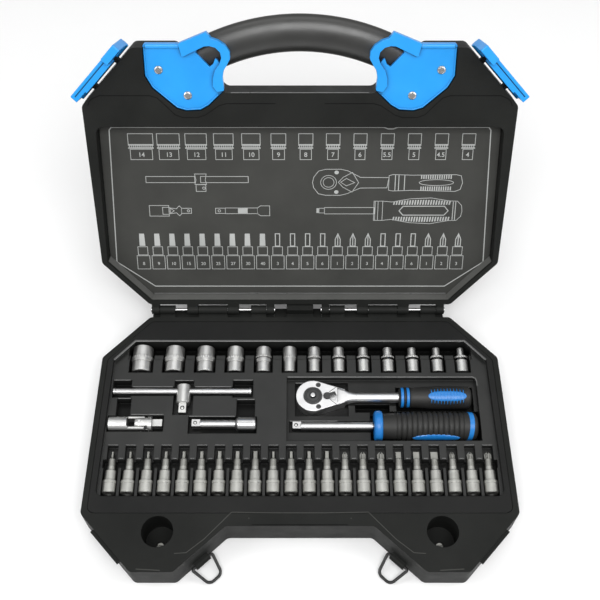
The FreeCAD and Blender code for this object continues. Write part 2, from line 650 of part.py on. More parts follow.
def make_latch():
    """A sprung cover on a barrel; its hook passes under the lug on the base."""
    depth = "(latch_rise + rim_gap + lug_drop + latch_seat)"
    end = f"({depth} + latch_hook)"
    wall = "latch_plate"
    lying = turn("-1; 0; 0", 90)
    cover = place(slab("latch_cover", [
        ("-latch_half", "-latch_barrel"), ("latch_half", "-latch_barrel"),
        ("latch_half", f"{end} + latch_tab_drop"),
        ("latch_half - latch_tab", f"{end} + latch_tab_drop"),
        ("latch_half - latch_tab", end), ("-latch_half", end)],
        "-latch_side", "latch_face", "1", ("0.6", "high")), lying)
    room = box("latch_room", (f"{wall} - latch_half", f"latch_half - {wall}"),
               ("-latch_barrel - 1", f"latch_face - {wall}"),
               (f"-{depth}", "latch_barrel - 0.6"))
    barrel = rod("latch_barrel_bar", "latch_barrel", ("-latch_half", 0, 0),
                 "2 * latch_half", "x")
    web = box("latch_web", ("-latch_half", "latch_half"), ("0", f"latch_face - {wall}"),
              ("-latch_barrel / 2", "latch_barrel"))
    hook = box("latch_hook_bar", ("-lug_half", "lug_half"),
               ("lug_out - latch_grip - latch_out", "0"), (f"-{end}", f"-{depth}"))
    groove = box("latch_groove_cut", ("3 - latch_half", "latch_half - latch_tab"),
                 ("latch_face - latch_plate - latch_groove", f"latch_face - {wall}"),
                 (f"-{end} - 1", f"latch_groove - {end}"))
    solid = fuse("latch_solid", [cut("latch_shell", cover, room), barrel, web, hook])
    notches = [box(f"latch_notch_{index}",
                   (f"{sign}ear_offset - ear_half - latch_gap",
                    f"{sign}ear_offset + ear_half + latch_gap"),
                   ("-latch_barrel - 1", "latch_barrel + latch_gap"),
                   ("-latch_barrel - latch_gap", "latch_barrel + 1"))
               for index, sign in enumerate(("-", ""))]
    bore = rod("latch_hole", "latch_pin + pin_play", ("-latch_pin_half", 0, 0),
               "2 * latch_pin_half", "x")
    steps = [LID, OUTER, move(0, "latch_out", "latch_axis"),
             turn("1; 0; 0", "latch_tilt")]
    right = node(cut("latch_right", solid, bore, groove, *notches), *steps)
    node(mirrored("latch_left", right))
    pin = node(rod("latch_pin_right", "latch_pin", (0, 0, 0), "2 * latch_pin_half"),
               *steps, move("-latch_pin_half", 0, 0), ALONG["x"])
    node(mirrored("latch_pin_left", pin))


def make_ring():
    """A bent wire ring whose straight end turns in the lug on the foot."""
    slope = "atan2(ring_half - ring_nose; ring_reach)"
    leg = "sqrt((ring_half - ring_nose)^2 + ring_reach^2)"
    parts = [rod("ring_axle", "ring_wire", ("-ring_half", 0, 0), "2 * ring_half", "x"),
             rod("ring_end", "ring_wire", ("-ring_nose", "ring_reach", 0),
                 "2 * ring_nose", "x")]
    for index, sign in enumerate(("-", "")):
        bar = rod(f"ring_leg_{index}", "ring_wire", (0, 0, 0), leg)
        lean = slope if sign == "" else f"-{slope}"
        place(bar, move(f"{sign}ring_half", 0, 0), turn("0; 0; 1", lean), ALONG["y"])
        parts.append(bar)
        parts.append(ball(f"ring_bend_{index}", "ring_wire", (f"{sign}ring_half", 0, 0)))
        parts.append(ball(f"ring_knee_{index}", "ring_wire",
                          (f"{sign}ring_nose", "ring_reach", 0)))
    right = node(fuse("wire_bail_right", parts), BASE, INNER,
                 move("-ring_shift", "ring_out", "ring_rise"),
                 turn("-1; 0; 0", "ring_droop"))
    node(mirrored("wire_bail_left", right))


# ---------------------------------------------------------------- tools

HEX_SIZES = ["hex_first", "hex_second", "hex_third", "hex_fourth", "hex_fifth",
             "hex_sixth", "hex_seventh", "hex_eighth", "hex_ninth", "hex_tenth",
             "hex_eleventh", "hex_twelfth", "hex_last"]
COLLARED = 5
BIT_TYPES = [("torx", 9), ("hex", 4), ("phillips", 3), ("slotted", 3), ("pozidriv", 3)]


def hex_radius(size):
    return f"({size} / sqrt(3) + socket_wall)"


def socket_radius(index):
    """Largest radius of a socket: its collar, or the plain drive end of a small one."""
    if index < COLLARED:
        return f"({hex_radius(HEX_SIZES[index])} + socket_collar)"
    return "socket_drive"


def socket_x(index):
    widths = "".join(f" + 2 * {socket_radius(before)}" for before in range(index))
    return f"(row_left{widths} + {index} * socket_gap + {socket_radius(index)})"


def socket_profile(index):
    if index < COLLARED:
        plain = hex_radius(HEX_SIZES[index])
        return [("0", f"{plain} - socket_bevel"), ("socket_bevel", plain),
                ("collar_start", plain), ("collar_start", socket_radius(index)),
                ("collar_end", socket_radius(index)), ("collar_end", plain),
                ("socket_length - socket_bevel", plain),
                ("socket_length", f"{plain} - socket_bevel")]
    narrow = f"min({hex_radius(HEX_SIZES[index])}; socket_drive - 0.02)"
    return [("0", "socket_drive - socket_bevel"), ("socket_bevel", "socket_drive"),
            ("socket_neck", "socket_drive"), ("socket_neck + neck_taper", narrow),
            ("socket_length - socket_bevel / 2", narrow),
            ("socket_length", f"{narrow} - socket_bevel / 2")]


def make_sockets():
    for index, size in enumerate(HEX_SIZES):
        name = f"socket_{index + 1:02d}"
        solid = turned(name + "_solid", socket_profile(index))
        drive = square(name + "_square", "cavity_radius", (0, 0, "-1"),
                       "drive_cavity + 1")
        jaws = prism(name + "_hex", 6, f"({size} + hex_play) / sqrt(3)",
                     (0, 0, "socket_length - hex_cavity"), "hex_cavity + 1", spin=30)
        bore = rod(name + "_bore", f"min(drive_bore; 0.4 * {size})",
                   (0, 0, "drive_cavity - 1"), "socket_length - drive_cavity")
        node(cut(name, solid, drive, jaws, bore), BASE,
             move(socket_x(index), "-row_front", "row_axis"), ALONG["y"])


def make_t_bar():
    ends = []
    for index, (low, high) in enumerate((("-bar_half", "bar_stop_length - bar_half"),
                                         ("bar_half - bar_stop_length", "bar_half"))):
        ends.append(rod(f"bar_stop_{index}", "bar_stop", (low, 0, 0),
                        f"({high}) - ({low})", "x"))
    bar = rod("bar_round", "bar_radius", ("-bar_half", 0, 0), "2 * bar_half", "x")
    node(fuse("t_bar_rod", [bar] + ends), BASE, move("bar_x", "-bar_reach", "bar_axis"))
    head = turned("bar_head_solid", [
        ("-bar_head_front", "bar_head_radius - 1"), ("1 - bar_head_front", "bar_head_radius"),
        ("bar_head_back - 0.8", "bar_head_radius"),
        ("bar_head_back", "bar_head_radius - 0.8")])
    tang = square("bar_head_square", "square_radius",
                  (0, 0, "-bar_head_front - bar_square"), "bar_square + 1")
    stud = ball("bar_head_ball", "1.2", ("0", "square_half - 0.6",
                                         "-bar_head_front - bar_square / 2"))
    hole = rod("bar_head_hole", "bar_radius + bar_play", ("-bar_head_radius - 1", 0, 0),
               "2 * bar_head_radius + 2", "x")
    node(cut("t_bar_head", fuse("bar_head_metal", [head, tang, stud]), hole), BASE,
         move("bar_head_x", "-bar_reach", "bar_axis"), ALONG["y"])


def make_universal_joint():
    """Two forks at right angles on a cross; x runs along the joint from the cross."""
    inner = "(uj_radius - uj_cheek)"
    ear = f"({inner} - uj_side_gap)"
    steps = [BASE, move("uj_left + uj_socket + uj_arm", "-link_reach", "link_axis")]
    socket = rod("uj_socket_round", "uj_radius", ("-uj_arm - uj_socket", 0, 0),
                 "uj_socket + uj_arm + uj_ear", "x")
    slot = box("uj_socket_slot", ("-uj_arm", "uj_ear + 1"), (f"-{inner}", inner),
               ("-uj_radius - 1", "uj_radius + 1"))
    trims = [box(f"uj_socket_trim_{index}", ("-uj_arm + 1", "uj_ear + 1"),
                 ("-uj_radius - 1", "uj_radius + 1"), span)
             for index, span in enumerate(((ear, "uj_radius + 1"),
                                           ("-uj_radius - 1", f"-{ear}")))]
    cavity = square("uj_cavity", "cavity_radius", ("-uj_arm - uj_socket - 1", 0, 0),
                    "drive_cavity + 1", "x")
    pin_y = rod("uj_hole_y", "uj_pin + uj_play", (0, "-uj_radius - 1", 0),
                "2 * uj_radius + 2", "y")
    node(cut("uj_socket_fork", socket, slot, cavity, pin_y, *trims), *steps)
    cube = box("uj_cube", (f"-{ear}", ear), (f"-{ear}", ear), (f"-{ear}", ear))
    pins = [rod("uj_pin_y", "uj_pin", (0, "0.2 - uj_radius", 0), "2 * uj_radius - 0.4", "y"),
            rod("uj_pin_z", "uj_pin", (0, 0, "0.2 - uj_radius"), "2 * uj_radius - 0.4")]
    node(fuse("uj_cross", [cube] + pins), *steps)
    root = rod("uj_drive_round", "uj_radius", ("-uj_ear", 0, 0),
               "uj_ear + uj_crotch + uj_root", "x")
    gap = box("uj_drive_slot", ("-uj_ear - 1", "uj_crotch"),
              ("-uj_radius - 1", "uj_radius + 1"), (f"-{inner}", inner))
    sides = [box(f"uj_drive_trim_{index}", ("-uj_ear - 1", "uj_crotch - 1"), span,
                 ("-uj_radius - 1", "uj_radius + 1"))
             for index, span in enumerate(((ear, "uj_radius + 1"),
                                           ("-uj_radius - 1", f"-{ear}")))]
    pin_z = rod("uj_hole_z", "uj_pin + uj_play", (0, 0, "-uj_radius - 1"),
                "2 * uj_radius + 2")
    tang = square("uj_tang", "square_radius", ("uj_crotch + uj_root - 1", 0, 0),
                  "uj_square + 1", "x")
    dome = cut("uj_drive_dome", box("uj_dome_room", ("-uj_radius", "0"),
                                    ("-uj_radius - 1", "uj_radius + 1"),
                                    ("-uj_radius - 1", "uj_radius + 1")),
               ball("uj_dome_ball", "uj_radius + 0.1", (0, 0, 0)))
    fork = cut("uj_drive_metal", root, gap, pin_z, dome, *sides)
    node(fuse("uj_drive_fork", [fork, tang]), *steps)


def make_extension():
    bar = turned("extension_solid", [
        ("0", "square_half - 0.6"), ("0.6", "square_half"),
        ("drive_length", "square_half"), ("drive_length + 0.6", "ext_radius"),
        ("ext_length - ext_socket - ext_taper", "ext_radius"),
        ("ext_length - ext_socket", "ext_socket_radius"),
        ("ext_length - 0.5", "ext_socket_radius"),
        ("ext_length", "ext_socket_radius - 0.5")])
    tang = square("extension_tang", "square_radius", (0, 0, "0.5"), "drive_length")
    cavity = square("extension_cavity", "cavity_radius",
                    (0, 0, "ext_length - drive_cavity"), "drive_cavity + 1")
    node(cut("extension_bar", fuse("extension_metal", [bar, tang]), cavity), BASE,
         move("ext_left", "-link_reach", "link_axis"), ALONG["x"])


RATCHET = [BASE, move("ratchet_x", "-ratchet_reach", "ratchet_axis")]


def make_ratchet_body():
    low = "-ratchet_bottom"
    head = rod("ratchet_head_disc", "ratchet_head", (0, 0, low),
               "ratchet_top + ratchet_bottom")
    wedge = slab("ratchet_wedge", [
        ("shoulder_x", "-shoulder_half"), ("neck_x", "-neck_half"),
        ("neck_x", "neck_half"), ("shoulder_x", "shoulder_half")], low, "ratchet_top")
    shaft = rod("ratchet_shaft_bar", "ratchet_shaft", ("neck_x - 6", 0, 0),
                "grip_start - neck_x + 6", "x")
    tang = rod("ratchet_tang_bar", "ratchet_tang", ("grip_start - 1", 0, 0),
               "tang_length + 1", "x")
    gear = rod("ratchet_gear_bore", "gear_radius + gear_play",
               (0, 0, "-ratchet_bottom - 1"), "ratchet_top + ratchet_bottom + 2")
    reach = "(lever_arm + lever_gap)"
    swept = [slab("lever_pocket_wedge", [
        ("0", "0"), (f"{reach} * cos(lever_turn)", f"-{reach} * sin(lever_turn)"),
        (f"{reach} + 0.6", "0"), (f"{reach} * cos(lever_turn)", f"{reach} * sin(lever_turn)")],
        "ratchet_top - lever_pocket", "ratchet_top + 1")]
    for index, sign in enumerate(("-", "")):
        swept.append(place(box(f"lever_pocket_end_{index}", (0, reach),
                               around("0", "lever_half + lever_gap"),
                               ("ratchet_top - lever_pocket", "ratchet_top + 1")),
                           turn("0; 0; 1", f"{sign}lever_turn"),
                           move(0, "-(lever_half + lever_gap)",
                                "ratchet_top - lever_pocket")))
    pocket = place(fuse("lever_pocket_swept", swept), move("lever_x", 0, 0))
    hub = rod("lever_pocket_hub", "lever_hub + lever_gap",
              ("lever_x", 0, "ratchet_top - lever_pocket"), "lever_pocket + 1")
    pin = rod("lever_pin_bore", "lever_pin + pin_play",
              ("lever_x", 0, "ratchet_top - lever_pocket - lever_pin_length"),
              "lever_pin_length + 1")
    screws = [rod(f"cover_bore_{index}", "cover_screw + pin_play",
                  ("cover_screw_x", f"{sign}cover_screw_side",
                   "ratchet_top - cover_screw_depth"), "cover_screw_depth + 1")
              for index, sign in enumerate(("-", ""))]
    node(cut("ratchet_body", fuse("ratchet_metal", [head, wedge, shaft, tang]), gear,
             pocket, hub, pin, *screws), *RATCHET)


def make_ratchet_drive():
    top = "(ratchet_top + gear_rise)"
    gear = rod("gear_disc", "gear_radius", (0, 0, "-ratchet_bottom"),
               f"{top} + ratchet_bottom")
    tang = square("gear_tang", "square_radius", (0, 0, "-ratchet_bottom - drive_drop"),
                  "drive_drop + 1")
    stud = ball("gear_ball", "1.2", ("square_half - 0.6", 0,
                                     "-ratchet_bottom - drive_drop / 2"))
    well = rod("button_bore", "button_radius + gear_play",
               (0, 0, f"{top} - button_depth - button_travel"),
               "button_depth + button_travel + 1")
    node(cut("ratchet_drive", fuse("gear_metal", [gear, tang, stud]), well), *RATCHET)
    node(turned("ratchet_button", [
        ("-button_depth", "button_radius"), ("button_rise - 0.5", "button_radius"),
        ("button_rise", "button_radius - 0.5")]), *RATCHET, move(0, 0, top))


def make_ratchet_lever():
    floor = "(ratchet_top - lever_pocket)"
    hub = rod("lever_hub_disc", "lever_hub", (0, 0, floor), "lever_pocket + lever_rise")
    arm = box("lever_arm_bar", ("0", "lever_arm"), ("-lever_half", "lever_half"),
              (floor, "ratchet_top + lever_rise"))
    pin = rod("lever_pin_bar", "lever_pin", (0, 0, f"{floor} - lever_pin_length"),
              "lever_pin_length + 1")
    node(fuse("ratchet_lever", [hub, arm, pin]), *RATCHET, move("lever_x", 0, 0),
         turn("0; 0; 1", "lever_turn"))


def make_ratchet_screws():
    screws = []
    for index, sign in enumerate(("-", "")):
        screw = rod(f"cover_screw_{index}", "cover_screw",
                    ("cover_screw_x", f"{sign}cover_screw_side",
                     "ratchet_top - cover_screw_depth"), "cover_screw_depth")
        slot = prism(f"cover_screw_key_{index}", 6, "0.9",
                     ("cover_screw_x", f"{sign}cover_screw_side", "ratchet_top - 0.8"),
                     "2")
        screws.append(cut(f"cover_screw_cut_{index}", screw, slot))
    node(group("ratchet_screws", screws), *RATCHET)


def oval_plug(name, half, side, low, high, *steps):
    """An oval block, its long axis along X, for a badge let into a grip."""
    oval = doc.addObject("Part::Ellipse", name + "_oval")
    bind(oval, "MajorRadius", half)
    bind(oval, "MinorRadius", side)
    plug = doc.addObject("Part::Extrusion", name)
    plug.Base = oval
    plug.DirMode = "Custom"
    plug.Dir = (0, 0, 1)
    plug.Solid = True
    bind(plug, "LengthFwd", f"({high}) - ({low})")
    return place(plug, *steps, move(0, 0, low))


def make_ratchet_grip():
    grip = place(turned("grip_solid", [
        ("0", "grip_radius - grip_round"), ("grip_round", "grip_radius"),
        ("grip_length - grip_round", "grip_radius"),
        ("grip_length - 0.3 * grip_round", "grip_radius - 0.3 * grip_round"),
        ("grip_length", "grip_radius - grip_round")]),
        move("grip_start", 0, 0), ALONG["x"])
    hole = rod("grip_hole", "ratchet_tang + pin_play", ("grip_start - 1", 0, 0),
               "tang_length + 1.5", "x")
    grooves = []
    bands = []
    for index, start in enumerate(("band_first + grip_round", "band_second + grip_round")):
        core = rod(f"band_core_{index}", "grip_radius - band_depth",
                   (f"grip_start + {start} - 1", 0, 0), "band_width + 2", "x")
        outer = rod(f"band_groove_{index}", "grip_radius + 1",
                    (f"grip_start + {start}", 0, 0), "band_width", "x")
        grooves.append(cut(f"band_groove_ring_{index}", outer, core))
        band = rod(f"band_disc_{index}", "grip_radius + band_proud",
                   (f"grip_start + {start}", 0, 0), "band_width", "x")
        bands.append(cut(f"band_ring_{index}", band, core))
    centre = move("grip_start + inlay_centre", 0, 0)
    seat, plug = [oval_plug(name, "inlay_half", "inlay_side", "inlay_floor",
                            "grip_radius + 1", centre)
                  for name in ("inlay_seat", "inlay_plug")]
    node(cut("ratchet_grip", grip, hole, seat, *grooves), *RATCHET)
    face = rod("inlay_face", "grip_radius", ("grip_start", 0, 0), "grip_length", "x")
    node(group("ratchet_trim", bands + [common("inlay", plug, face)]), *RATCHET)


SPINNER = [BASE, move("spinner_left", "-spinner_reach", "spinner_axis")]


def make_spinner():
    stem = turned("spinner_solid", [
        ("0", "square_half - 0.6"), ("0.6", "square_half"),
        ("drive_length", "square_half"), ("drive_length + 0.6", "spinner_shaft"),
        ("spinner_stem", "spinner_shaft"), ("spinner_stem", "spinner_tang"),
        ("spinner_stem + spinner_tang_length", "spinner_tang")])
    tang = square("spinner_square", "square_radius", (0, 0, "0.5"), "drive_length")
    stud = ball("spinner_ball", "1.2", ("0", "square_half - 0.6", "drive_length / 2 + 0.5"))
    node(fuse("spinner_shaft_bar", [stem, tang, stud]), *SPINNER, ALONG["x"])
    start = "(spinner_stem + spinner_collar_length)"
    end = f"({start} + spinner_grip_length)"
    hole = rod("spinner_hole", "spinner_tang + pin_play", ("spinner_stem - 1", 0, 0),
               "spinner_tang_length + 1.5", "x")
    grip = rod("spinner_grip_bar", "spinner_grip", (start, 0, 0), "spinner_grip_length", "x")
    seat, plug = [oval_plug(name, "badge_half", "badge_side", "badge_floor",
                            "spinner_grip + 1", move(f"{start} + badge_centre", 0, 0),
                            turn("1; 0; 0", 90))
                  for name in ("badge_seat", "badge_plug")]
    node(cut("spinner_grip_handle", grip, hole, seat), *SPINNER)
    face = rod("badge_face", "spinner_grip", (start, 0, 0), "spinner_grip_length", "x")
    collar = place(turned("spinner_collar_ring", [
        ("0", "spinner_collar - 2.5"), ("1.5", "spinner_collar"),
        ("spinner_collar_length - 1", "spinner_collar"),
        ("spinner_collar_length", "spinner_collar - 1")]),
        move("spinner_stem", 0, 0), ALONG["x"])
    cap = place(turned("spinner_cap_ring", [
        ("0", "spinner_cap"), ("spinner_cap_length - cap_round", "spinner_cap"),
        ("spinner_cap_length", "spinner_cap - cap_round")]), move(end, 0, 0), ALONG["x"])
    collar_hole = rod("collar_hole", "spinner_tang + pin_play",
                      ("spinner_stem - 1", 0, 0), "spinner_collar_length + 2", "x")
    node(group("spinner_trim", [cut("spinner_collar_part", collar, collar_hole), cap,
                                common("badge", plug, face)]), *SPINNER)


def bit_x(index):
    return f"(bit_left + {index} * bit_pitch)"


def holder():
    solid = turned("holder_solid", [
        ("0", "holder_drive - 0.5"), ("0.5", "holder_drive"),
        ("holder_collar_start", "holder_drive"), ("holder_collar_start", "holder_collar"),
        ("holder_collar_end", "holder_collar"), ("holder_collar_end", "holder_drive"),
        ("holder_length - 1", "holder_drive"), ("holder_length", "holder_neck + 0.8"),
        ("holder_length", "holder_neck"), ("holder_end", "holder_neck")])
    cavity = square("holder_cavity", "cavity_radius", (0, 0, "-1"), "drive_cavity + 1")
    seat = rod("holder_seat", "bit_shank + bit_fit", (0, 0, "holder_end - bit_seat"),
               "bit_seat + 1")
    return cut("holder_part", solid, cavity, seat)


def tip_size(kind, order):
    family = {"torx": "torx", "hex": "key", "slotted": "blade"}.get(kind, "cross")
    return f"({family}_first + {order} * {family}_step)"


def shank(name, tip):
    """The round shank of one bit, tapering to the size of its tip."""
    return turned(name, [
        ("holder_end - bit_seat", "bit_shank"), ("bit_shoulder", "bit_shank"),
        (f"bit_shoulder + 0.8 * (bit_shank - {tip})", tip)])


def tip_solid(name, kind, tip):
    """The working end of a bit, from inside its shank to its point."""
    low, high = "bit_shoulder - 0.5", "bit_length"
    if kind == "torx":
        points = []
        for index in range(12):
            reach = tip if index % 2 == 0 else f"0.76 * {tip}"
            points.append((f"{reach} * cos({index * 30})", f"{reach} * sin({index * 30})"))
        return slab(name, points, low, high)
    if kind == "hex":
        return prism(name, 6, tip, (0, 0, low), f"{high} - ({low})")
    if kind == "slotted":
        return box(name, (f"-{tip}", tip), ("-blade_thick / 2", "blade_thick / 2"),
                   (low, high))
    half = "cross_rib / 2"
    ribs = [box(f"{name}_rib_{index}", across, along, (low, high))
            for index, (across, along) in enumerate((
                ((f"-{tip}", tip), (f"-{half}", half)),
                ((f"-{half}", half), (f"-{tip}", tip))))]
    if kind == "pozidriv":
        ribs.append(prism(name + "_fine", 4, f"0.75 * {tip}", (0, 0, low),
                          f"{high} - ({low}) - 1.5", spin=45))
    point = turned(name + "_point", [
        (low, tip), (f"{high} - 2.6", tip), (high, "tip_point")])
    return common(name, fuse(name + "_ribs", ribs), point)


def make_bits():
    template = holder()
    index = 0
    for kind, count in BIT_TYPES:
        holders = []
        bits = []
        for order in range(count):
            spot = move(bit_x(index), 0, 0)
            copy = group(f"holder_{kind}_{order}", [template])
            holders.append(place(copy, spot, ALONG["y"]))
            name = f"bit_{kind}_{order}"
            tip = tip_size(kind, order)
            bit = fuse(name, [shank(name + "_shank", tip),
                              tip_solid(name + "_tip", kind, tip)])
            bits.append(place(bit, spot, ALONG["y"]))
            index += 1
        steps = [BASE, move(0, "-bit_front", "bit_axis")]
        node(group(f"bit_holders_{kind}", holders), *steps)
        node(group(f"bits_{kind}", bits), *steps)


# ---------------------------------------------------------------- tray

WALLS = []
VOIDS = []


def hollow(name, across, reach, floor):
    """A rectangular nest: a thin tub under the tray and the space inside it."""
    skin = "tray_skin"
    low_reach, high_reach = reach
    WALLS.append(box(name + "_tub", (f"{across[0]} - {skin}", f"{across[1]} + {skin}"),
                     (f"-({high_reach} + {skin})", f"-({low_reach} - {skin})"),
                     (f"{floor} - {skin}", "base_depth - tray_skin")))
    VOIDS.append(box(name + "_room", across, (f"-({high_reach})", f"-({low_reach})"),
                     (floor, "base_depth + 1")))


def around(centre, half):
    return (f"{centre} - ({half})", f"{centre} + ({half})")


def rest(axis, radius):
    """Floor level that leaves the seating gap under a round piece."""
    return f"({axis} - ({radius}) - seat_gap)"


def nest_sockets():
    largest = socket_radius(0)
    floor = rest("row_axis", largest)
    VOIDS.append(slab("trough_room", both_sides([
        ("trough_back_half", "-field_back"), ("trough_half", "-trough_corner"),
        ("trough_half", "-rack_back")]), floor, "base_depth + 1"))
    WALLS.append(slab("trough_tub", both_sides([
        ("trough_back_half - 0.6", "-(field_back - tray_skin)"),
        ("trough_half + tray_skin", "-(trough_corner + 0.7)"),
        ("trough_half + tray_skin", "-(rack_back + tray_skin)")]),
        f"{floor} - tray_skin", "base_depth - tray_skin"))
    hollow("rack_shelf", ("-trough_half", "trough_half"),
           ("rack_back - 1", "rack_back + rack_step"), "field - rack_step_drop")
    for index in range(len(HEX_SIZES)):
        radius = socket_radius(index)
        hollow(f"socket_nest_{index}", around(socket_x(index), f"{radius} + nest_gap"),
               ("rack_back - 1", "row_front + rack_end_gap"), rest("row_axis", radius))


def nest_bar():
    half = "bar_stop + nest_gap"
    hollow("bar_nest", around("bar_x", "bar_half + nest_gap"),
           around("bar_reach", half), rest("bar_axis", "bar_stop"))
    hollow("bar_head_nest", around("bar_head_x", "bar_pocket_half"),
           ("bar_reach - bar_head_back - 5",
            "bar_reach + bar_head_front + bar_square + nest_gap"),
           rest("bar_axis", "bar_head_radius"))


def nest_links():
    hollow("uj_nest", ("uj_left - nest_gap - 0.6",
                       "uj_left + uj_socket + uj_arm + uj_crotch + uj_root + uj_square"
                       " + nest_gap"),
           around("link_reach", "uj_radius + nest_gap"), rest("link_axis", "uj_radius"))
    hollow("extension_nest", ("ext_left - 2.7", "ext_left + ext_length + nest_gap"),
           ("link_reach - 6.7", "link_reach + 9.3"),
           rest("link_axis", "ext_socket_radius"))


def nest_fingers():
    """Hollows beside the small tools, for lifting them out."""
    for name, across, reach in (
            ("a", ("bar_x - bar_half - nest_gap", "finger_a"), ("finger_top", "bar_reach + 6")),
            ("b", ("finger_b", "finger_c"), ("finger_top", "bar_reach + 6")),
            ("c", ("finger_d", "finger_a + 1"), ("finger_mid", "link_reach - 5")),
            ("d", ("finger_e", "finger_f"), ("finger_mid + 1", "link_reach - 5"))):
        hollow(f"finger_{name}", across, reach, "finger_floor")


def nest_handles():
    hollow("bay", ("bay_left", "bay_right"), ("bay_back", "bay_front"),
           "base_depth - bay_drop")
    gap = "nest_gap + 0.5"
    hollow("ratchet_head_nest",
           ("ratchet_x - ratchet_head - nest_gap", "ratchet_x + neck_x + 3"),
           around("ratchet_reach", f"ratchet_head + {gap}"),
           "ratchet_axis - ratchet_bottom - seat_gap")
    hollow("ratchet_drive_nest", around("ratchet_x", "square_radius + nest_gap"),
           around("ratchet_reach", "square_radius + nest_gap"),
           "ratchet_axis - ratchet_bottom - drive_drop - 2")
    hollow("ratchet_shaft_nest", ("ratchet_x + neck_x", "ratchet_x + grip_start"),
           around("ratchet_reach", f"ratchet_shaft + {gap}"),
           rest("ratchet_axis", "ratchet_shaft"))
    hollow("ratchet_grip_nest",
           ("ratchet_x + grip_start - 2", "ratchet_x + grip_start + grip_length + 2.5"),
           around("ratchet_reach", f"grip_radius + {gap}"),
           rest("ratchet_axis", "grip_radius + band_proud"))
    hollow("spinner_stem_nest", ("spinner_left - 2.5", "spinner_left + spinner_stem"),
           around("spinner_reach", f"spinner_shaft + {gap}"),
           rest("spinner_axis", "spinner_shaft"))
    hollow("spinner_grip_nest", ("spinner_left + spinner_stem - 2", "bay_right"),
           around("spinner_reach", "spinner_collar + nest_gap"),
           rest("spinner_axis", "spinner_collar"))
    hollow("handle_finger", ("finger_g", "finger_h"),
           ("ratchet_reach + ratchet_shaft", "spinner_reach - spinner_collar"),
           "finger_floor - 6")


def nest_bits():
    """A trough and 22 slots under the bit sockets, and a comb for their tips."""
    wide = "bit_trough_half"
    floor = rest("bit_axis", "holder_collar")
    VOIDS.append(box("bit_trough_room", (f"-{wide}", wide),
                     ("-rib_back", "-comb_front"), (floor, "base_depth + 1")))
    WALLS.append(box("bit_tub", (f"-{wide} - tray_skin", f"{wide} + tray_skin"),
                     ("-(slot_front + tray_skin)", "-(comb_front - tray_skin)"),
                     (f"{floor} - tray_skin", "base_depth - tray_skin")))
    comb_floor = rest("bit_axis", "bit_shank")
    WALLS.append(box("comb_tub", (f"-{wide} - tray_skin", f"{wide} + tray_skin"),
                     ("-comb_front", "-(comb_back - tray_skin)"),
                     (f"{comb_floor} - tray_skin", "base_depth - tray_skin")))
    bits = sum(count for _, count in BIT_TYPES)
    for index in range(bits):
        VOIDS.append(box(f"bit_slot_{index}",
                         around(bit_x(index), "(bit_pitch - rib_thick) / 2"),
                         ("-slot_front", "-rib_back + 0.5"), (floor, "base_depth + 1")))
        VOIDS.append(box(f"comb_slot_{index}",
                         around(bit_x(index), "bit_shank + comb_gap"),
                         ("-comb_front - 0.5", "-comb_back"),
                         (comb_floor, "base_depth + 1")))


def make_tray():
    """A thin moulded tray that hangs by its flange on the ledge inside the base."""
    for nest in (nest_sockets, nest_bar, nest_links, nest_fingers, nest_handles,
                 nest_bits):
        nest()
    flange = slab("tray_flange", six_corners("tray", "-tray_fit"),
                  "base_depth - tray_skin", "base_depth", "corner_round")
    pan = slab("tray_pan", six_corners("field", "tray_skin"), "field - tray_skin",
               "base_depth - tray_skin", "corner_round")
    room = slab("tray_field", six_corners("field", "0"), "field", "base_depth + 1",
                "corner_round")
    node(cut("tray_insert", fuse("tray_solid", [flange, pan] + WALLS), room, *VOIDS),
         BASE)


# ---------------------------------------------------------------- build and write

for make in (make_base, make_tray, make_lid, make_lid_panel, make_handle, make_bracket,
             make_rivets, make_latch, make_hinge_pins, make_ring, make_tray_screws,
             make_sockets, make_t_bar, make_universal_joint, make_extension,
             make_ratchet_body, make_ratchet_drive, make_ratchet_lever,
             make_ratchet_screws, make_ratchet_grip, make_spinner, make_bits):
    make()

doc.recompute()
for item in doc.Objects:
    if "Invalid" in item.State or "Error" in item.State:
        raise RuntimeError(f"{item.Label} did not recompute")
os.makedirs("parts", exist_ok=True)
for item in NODES:
    if item.Shape.isNull() or not item.Shape.isValid():
        raise RuntimeError(f"{item.Label} has no valid shape")
for item in NODES:
    item.Shape.exportStep(f"parts/{item.Label}.step")
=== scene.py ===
import json
import math

import bmesh
import bpy
from mathutils import Matrix, Vector


